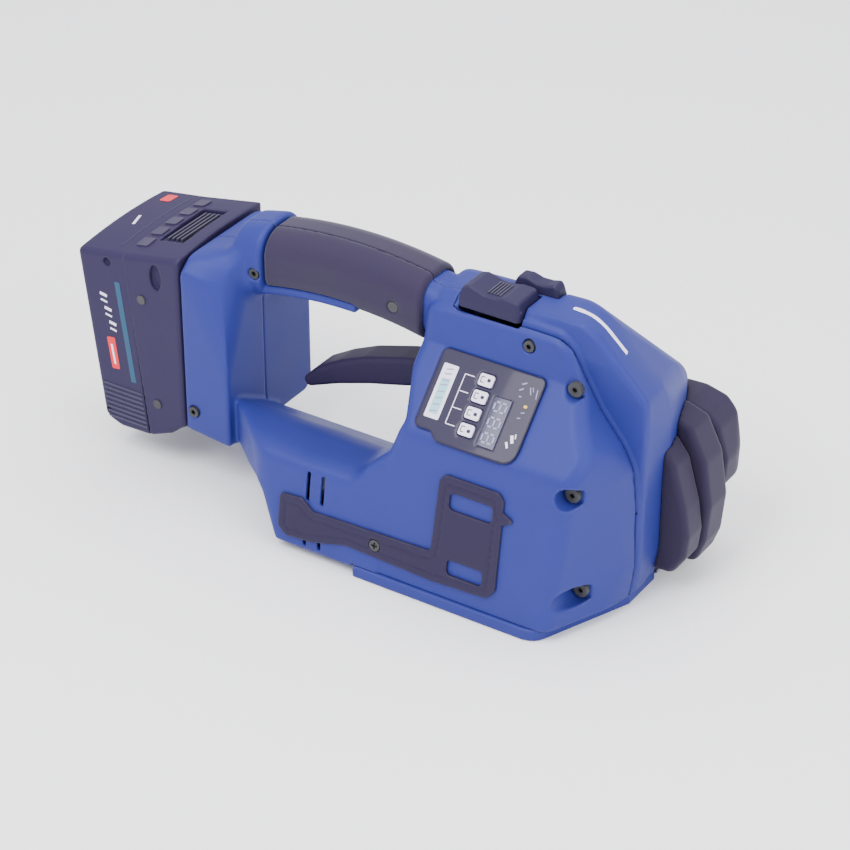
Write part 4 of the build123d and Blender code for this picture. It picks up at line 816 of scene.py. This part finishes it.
SEGMENTS = [((-1, -1), (-1, 1)), ((0, -1), (0, 1)), ((1, -1), (1, 1)),
            ((-1, -1), (0, -1)), ((0, -1), (1, -1)), ((-1, 1), (0, 1)), ((0, 1), (1, 1))]
digits = []
for digit_v in (GLASS_V + 8.3, GLASS_V, GLASS_V - 8.3):
    for start, end in SEGMENTS:
        run = np.array(end) - start
        first = np.array(start) + 0.16 * run
        last = np.array(end) - 0.16 * run
        digits.append(bar((GLASS_U + 3.3 * first[0], digit_v + 2.4 * first[1]),
                          (GLASS_U + 3.3 * last[0], digit_v + 2.4 * last[1]), 0.95))
plates("display_digits", digits, PANEL_FACE - 0.1, PANEL_FACE + 0.1, on_panel, "tool_body",
       GREY_PRINT)
icons = [bar((18.2, 17.5), (20.6, 18.8), 0.7), bar((18.0, 14.3), (20.0, 15.6), 0.7),
         bar((23.2, 17.2), (24.8, 13.6), 0.55), bar((24.6, 17.6), (25.6, 15.4), 0.45),
         bar((27.4, 17.0), (28.2, 12.4), 0.5), bar((19.0, 11.2), (20.4, 11.4), 0.6),
         bar((23.4, 3.6), (25.4, 4.2), 0.5), bar((22.6, 0.6), (24.2, 1.0), 0.5)]
plates("small_marks", icons, PRINT_LOW, PRINT_HIGH, on_panel, "tool_body", GREY_PRINT)
plates("status_light", [rounded(24.6, 7.2, 1.9, 1.5, 0.5)], PRINT_LOW, PRINT_HIGH + 0.1,
       on_panel, "tool_body", AMBER_PRINT)
switch_mark = [bar((23.6, -8.4), (25.2, -12.2), 1.6), bar((22.0, -12.4), (23.6, -15.2), 1.2),
               bar((25.4, -7.2), (26.0, -9.6), 0.6)]
plates("white_mark", switch_mark, PRINT_LOW, PRINT_HIGH, on_panel, "tool_body", WHITE_PRINT)
for key_number, (key_u, key_v) in enumerate(KEY_CENTRES, 1):
    glyphs = [bar((key_u - 2.9, key_v + side), (key_u - 0.9, key_v + side), 0.45)
              for side in (-1.4, 1.4)]
    glyphs += [bar((key_u - 2.9, key_v - 1.4), (key_u - 2.9, key_v + 1.4), 0.45),
               rounded(key_u + 1.6, key_v - 0.2 * key_number + 0.5, 1.9, 1.7, 0.5)]
    plates("key_glyph_%d" % key_number, glyphs, 1.3, 1.47, on_panel, "key_%d" % key_number,
           DARK_PRINT)

# ---------------------------------------------------------------- press buttons
CAP_FOOT_Z = 145.2
TENSION_CREST = ([0, 0.06, 0.18, 0.32, 0.42, 0.62, 0.74, 0.96, 1],
                 [-4.5, -1.2, 0, -1.4, -2.6, -2.4, -1.2, -1.5, -2.6])
WELD_CREST = ([0, 0.12, 0.3, 0.5, 0.7, 0.88, 1], [-3.6, -0.4, 0, -1.8, -1.6, -0.3, -3])


def cap_field(low, high, crest):
    """Button cap with sloping flanks and a profile along X."""
    def field(x, y, z):
        lean = np.clip((z - 149) / 8.5, 0, 1) * 1.6
        middle = (low + high) / 2
        across_x = np.abs(x - middle[0]) - (high[0] - low[0]) / 2 + lean
        across_y = np.abs(y - middle[1]) - (high[1] - low[1]) / 2 + lean
        sides = both(across_x, across_y, 2.5)
        share = (x - low[0]) / (high[0] - low[0])
        top = z - high[2] - np.interp(share, crest[0], crest[1])
        return both(both(sides, top, 1.3), CAP_FOOT_Z - z)
    return field


moulded("tension_cap", cap_field(TENSION_LOW, TENSION_HIGH, TENSION_CREST),
        *around("tension_button"), 0.6, "tension_button", BUTTON, "button_dark",
        ["tension_button"], keep=0.6)
moulded("weld_cap", cap_field(WELD_LOW, WELD_HIGH, WELD_CREST), *around("weld_button"), 0.6,
        "weld_button", BUTTON, "button_dark", ["weld_button"], keep=0.6)


def on_cap(a, b, c):
    """Place function for a cap: (x, y, z)."""
    return (a, b, c)


SADDLE_X = TENSION_LOW[0] + 0.52 * (TENSION_HIGH[0] - TENSION_LOW[0])
SADDLE_Y = (TENSION_LOW[1] + TENSION_HIGH[1]) / 2
saddle_ribs = [rounded(SADDLE_X + 1.7 * row, SADDLE_Y, 0.8, 13, 0.35) for row in (-2, -1, 0, 1, 2)]
plates("saddle_ribs", saddle_ribs, TENSION_HIGH[2] - 3.4, TENSION_HIGH[2] - 1.9, on_cap,
       "tension_button", BUTTON)

# ---------------------------------------------------------------- rocker spring
COIL_LOW, COIL_HIGH = box_mm("rocker_spring")
COIL_WIRE, COIL_PITCH = 0.9, 4.0
coil_centre = (COIL_LOW + COIL_HIGH) / 2
coil_radius = (COIL_HIGH[0] - COIL_LOW[0]) / 2 - COIL_WIRE
coil_turns = (COIL_HIGH[2] - COIL_LOW[2] - 2 * COIL_WIRE) / COIL_PITCH
COIL_STEPS, COIL_SIDES = int(coil_turns * 40), 10
coil_points, coil_faces = [], []
for step in range(COIL_STEPS + 1):
    turn = 2 * math.pi * coil_turns * step / COIL_STEPS
    for side in range(COIL_SIDES):
        roll = 2 * math.pi * side / COIL_SIDES
        spread_r = coil_radius + COIL_WIRE * math.cos(roll)
        rise = COIL_LOW[2] + COIL_WIRE * (1 + math.sin(roll)) + COIL_PITCH * turn / 2 / math.pi
        coil_points.append((coil_centre[0] + spread_r * math.cos(turn),
                            coil_centre[1] + spread_r * math.sin(turn), rise))
        if step:
            here = step * COIL_SIDES + side
            beside = step * COIL_SIDES + (side + 1) % COIL_SIDES
            coil_faces.append((here, here - COIL_SIDES, beside - COIL_SIDES, beside))
spring_coil = mesh_object("spring_coil", np.array(coil_points), np.array(coil_faces))
finish_piece(spring_coil, "tool_body", STEEL, ["rocker_spring"])
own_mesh(spring_coil)

# ---------------------------------------------------------------- battery pack
INNER_SIDE = soft_outline([
    (-100, 146, 0), (-147.8, 140, 0), (-147.8, 126.1, 0), (-135, 17.7, 0), (-135, 10, 0),
    (-100, 10, 0)])
OUTER_SIDE = soft_outline([
    (-147.8, 140, 0), (-184, 134, 4), (-172, 14, 3), (-135, 10, 0)])
PACK_SIDE = soft_outline([
    (-110.3, 133.2, 1.5), (-147.8, 126.1, 2), (-178, 121.5, 3), (-166, 22.2, 4), (-162.5, 19, 3),
    (-155, 16.4, 4), (-135, 17.2, 4), (-121, 23, 4), (-115, 28, 4), (-110.3, 31, 1)])
SLOPE_INNER = (133.2 - 126.1) / (147.8 - 110.3)
SLOPE_OUTER = (126.1 - 121.5) / (178.0 - 147.8)
DIMPLES = [(-158.0, 119.0, 2.4), (-163.0, 25.0, 1.6)]


def pack_crown(y):
    """Rise of the pack's top, fullest a little past its middle."""
    return 3.2 * (1 - ((y - 8) / 47) ** 2)


def pack_outside(x, y, z):
    """Battery's outside as one rounded body."""
    crowned = z - pack_crown(y) * np.clip((z - 60) / 50, 0, 1)
    shape = both(outline_field(PACK_SIDE, x, crowned), np.abs(y) - PACK_HALF_Y, 3)
    return both(shape, x + 110.3, 0.8)


def inner_pack(x, y, z):
    """Half of the pack beside the holder, with the channel for the dock."""
    outside = pack_outside(x, y, z)
    shell = without(outside, outside + 2.4)
    wall_block = cuboid(x, y, z, (-122, -23.5, 0), (-100, 23.5, 119))
    shell = either(shell, both(wall_block, outside))
    pocket_wall = cuboid(x, y, z, (-138, -22, 118), (-118, 22, 160))
    shell = either(shell, both(pocket_wall, outside))
    shell = both(shell, outline_field(INNER_SIDE, x, z) + 0.1, 0.35)
    shell = without(shell, cuboid(x, y, z, (-119.5, -21, -5), (-113.1, 21, 117)))
    shell = without(shell, cuboid(x, y, z, (-114, -14, -5), (-100, 14, 117)))
    shell = without(shell, cuboid(x, y, z, (-136, -20, 122.5), (-120, 20, 170)), 0.5)
    eye = (np.hypot((x + 126) / 3.6, (z - 118.6) / 7.5) - 1) * 3.6
    shell = either(shell, both(both(eye - 2, 33 - np.abs(y)), outside))
    return without(shell, both(eye, 35.6 - np.abs(y)), 0.8)


def outer_pack(x, y, z):
    """Outer cap of the pack."""
    outside = pack_outside(x, y, z)
    shell = without(outside, outside + 2.4)
    shell = both(shell, outline_field(OUTER_SIDE, x, z) + 0.1, 0.35)
    for dimple_x, dimple_z, radius in DIMPLES:
        hole = both(y_cylinder(x, z, (dimple_x, dimple_z), radius), 36.6 - np.abs(y))
        shell = without(shell, hole, 0.5)
    return shell


moulded("pack_inner", inner_pack, *around("battery_inner"), 0.7, "battery_pack", PACK,
        "battery_dark", ["battery_inner"], keep=0.5)
moulded("pack_outer", outer_pack, *around("battery_outer"), 0.7, "battery_pack", PACK,
        "battery_dark", ["battery_outer"], keep=0.5)


def on_pack_side(sign):
    """Place function for the flat side of the pack: (x, z, out)."""
    return lambda a, b, c: (a, sign * (PACK_HALF_Y + c), b)


def on_pack_top(a, b, c):
    """Place function for the sloping top of the pack: (x, y, up)."""
    if a > -147.8:
        return (a, b, 133.2 + (a + 110.3) * SLOPE_INNER + pack_crown(b) + c)
    return (a, b, 126.1 + (a + 147.8) * SLOPE_OUTER + pack_crown(b) + c)


for sign, side_name in ((-1, "near"), (1, "far")):
    on_side = on_pack_side(sign)
    plates("teal_stripe_" + side_name, [bar((-151.8, 108.5), (-144.2, 48.5), 3.4)], -0.3, 0.12,
           on_side, "battery_pack", TEAL)
    badge = [soft_outline([(-161.0, 72.4, 1), (-155.6, 73.2, 1), (-153.2, 54.0, 1),
                           (-158.4, 53.2, 1)])]
    plates("red_badge_" + side_name, badge, -0.3, 0.14, on_side, "battery_pack", RED)
    plates("badge_line_" + side_name, [bar((-158.0, 68.5), (-156.2, 56.5), 1.3)], 0.1, 0.2,
           on_side, "battery_pack", WHITE_PRINT)
    level = [bar((-163.8 + 2.6 * k, 98.6 - 8.2 * k), (-159.2 + 2.6 * k, 97.8 - 8.2 * k), 1.7)
             for k in (0, 1, 2)]
    level += [bar((-163.4 + 2.6 * k, 94.8 - 8.2 * k), (-159.2 + 2.6 * k, 94.0 - 8.2 * k), 1.1)
              for k in (0, 1, 2)]
    plates("level_marks_" + side_name, level, -0.3, 0.12, on_side, "battery_pack", WHITE_PRINT)
    ribs = []
    for k in range(8):
        rib_z = 42.5 - 2.9 * k
        left_x = -178 + (121.5 - rib_z) * 12 / 99.3 + 3.2
        right_x = -147.8 + (126.1 - rib_z) * 12.8 / 108.4 - 1.2
        ribs.append(bar((left_x, rib_z), (right_x, rib_z), 1.3))
    plates("pack_ribs_" + side_name, ribs, -1.0, 0.35, on_side, "battery_pack", PACK)

pads = [rounded(-141.8, pad_y, 7.6, 8.4, 1.4) for pad_y in (-24, -11.5, 1, 13.5, 26)]
plates("top_pads", pads, -1.0, 0.7, on_pack_top, "battery_pack", PACK)
groove = [bar((-153.5, groove_y), (-153.5, groove_y + 6.2), 1.2) for groove_y in range(-30, 30, 6)]
plates("top_groove", groove, -0.6, 0.1, on_pack_top, "battery_pack", DARK_PRINT)
plates("top_badge", [rounded(-165.5, 27, 7, 9, 1.5)], -0.4, 0.2, on_pack_top, "battery_pack",
       RED)
plates("top_mark", [bar((-163, -8), (-166, 2), 1.6)], -0.4, 0.15, on_pack_top, "battery_pack",
       WHITE_PRINT)
LATCH_LOW, LATCH_HIGH = box_mm("battery_latch")
latch_ridges = [rounded(ridge_x, 0, 1.1, 34, 0.5) for ridge_x in (-132.5, -129.6, -126.7, -123.8)]


def on_latch(a, b, c):
    """Place function for the sloping top of the latch: (x, y, up)."""
    share = (a - LATCH_LOW[0]) / (LATCH_HIGH[0] - LATCH_LOW[0])
    return (a, b, LATCH_HIGH[2] - 2.8 * (1 - share) + c)


plates("latch_ridges", latch_ridges, -0.8, 1.6, on_latch, "battery_latch", BUTTON)


# ---------------------------------------------------------------- painted highlight on the crest
def painted_crest_highlight(x, y, z):
    """Pale stripe laid on the crest of the body, a painted highlight where light glints on the ridge."""
    outside = housing(x, y, z)
    skin = both(outside - 0.3, -outside - 0.7)
    along = np.clip((x - 106) / 34, 0, 1)
    line = np.hypot(x - 106 - along * 34, y - 2.2 + along * 1.6) - 1.5
    return both(skin, line)


# The pale crest stripe is a painted highlight drawn in the white print material, not a print on the body.
moulded("crest_painted_highlight", painted_crest_highlight, (102, -3, 138), (144, 7, 155), 0.4, "tool_body",
        WHITE_PRINT, "key_white", keep=0.4)

# ---------------------------------------------------------------- floor, light and camera
floor_mesh = bpy.data.meshes.new("floor")
reach = 6.0
floor_mesh.from_pydata([(-reach, -reach, 0), (reach, -reach, 0), (reach, reach, 0),
                        (-reach, reach, 0)], [], [(0, 1, 2, 3)])
floor = bpy.data.objects.new("floor", floor_mesh)
bpy.context.scene.collection.objects.link(floor)
floor.location.z = -0.0002
floor_mesh.materials.append(surface("floor_paint", linear(250, 250, 251), 0.85, mottle=0.01,
                                    mottle_scale=4, grain=0.02, grain_scale=300))

world = bpy.data.worlds.new("studio")
bpy.context.scene.world = world
world.use_nodes = True
world.node_tree.nodes["Background"].inputs["Color"].default_value = (0.94, 0.95, 1.0, 1)
world.node_tree.nodes["Background"].inputs["Strength"].default_value = 1.6


def soft_light(name, place, target, size, power, colour=(1, 1, 1)):
    """Large square lamp aimed at a point."""
    lamp = bpy.data.lights.new(name, "AREA")
    lamp.shape, lamp.size, lamp.energy, lamp.color = "SQUARE", size, power, colour
    thing = bpy.data.objects.new(name, lamp)
    thing.location = place
    thing.rotation_euler = (Vector(target) - Vector(place)).to_track_quat("-Z", "Y").to_euler()
    bpy.context.scene.collection.objects.link(thing)


MIDDLE = (cad_low + cad_high) / 2
soft_light("key_light", (-0.15, -0.75, 1.15), MIDDLE, 0.7, 17)
soft_light("fill_light", (1.1, -0.25, 0.75), MIDDLE, 0.8, 8)
soft_light("top_light", (0.0, 0.35, 1.3), MIDDLE, 0.9, 10)

camera_data = bpy.data.cameras.new("camera")
camera_data.lens, camera_data.sensor_width = 123.6, 36.0
camera = bpy.data.objects.new("camera", camera_data)
camera.location = (0.72115, -1.09009, 0.86984)
camera.rotation_euler = Vector((-0.4589, 0.7121, -0.5314)).to_track_quat("-Z", "Y").to_euler()
bpy.context.scene.collection.objects.link(camera)
bpy.context.scene.camera = camera
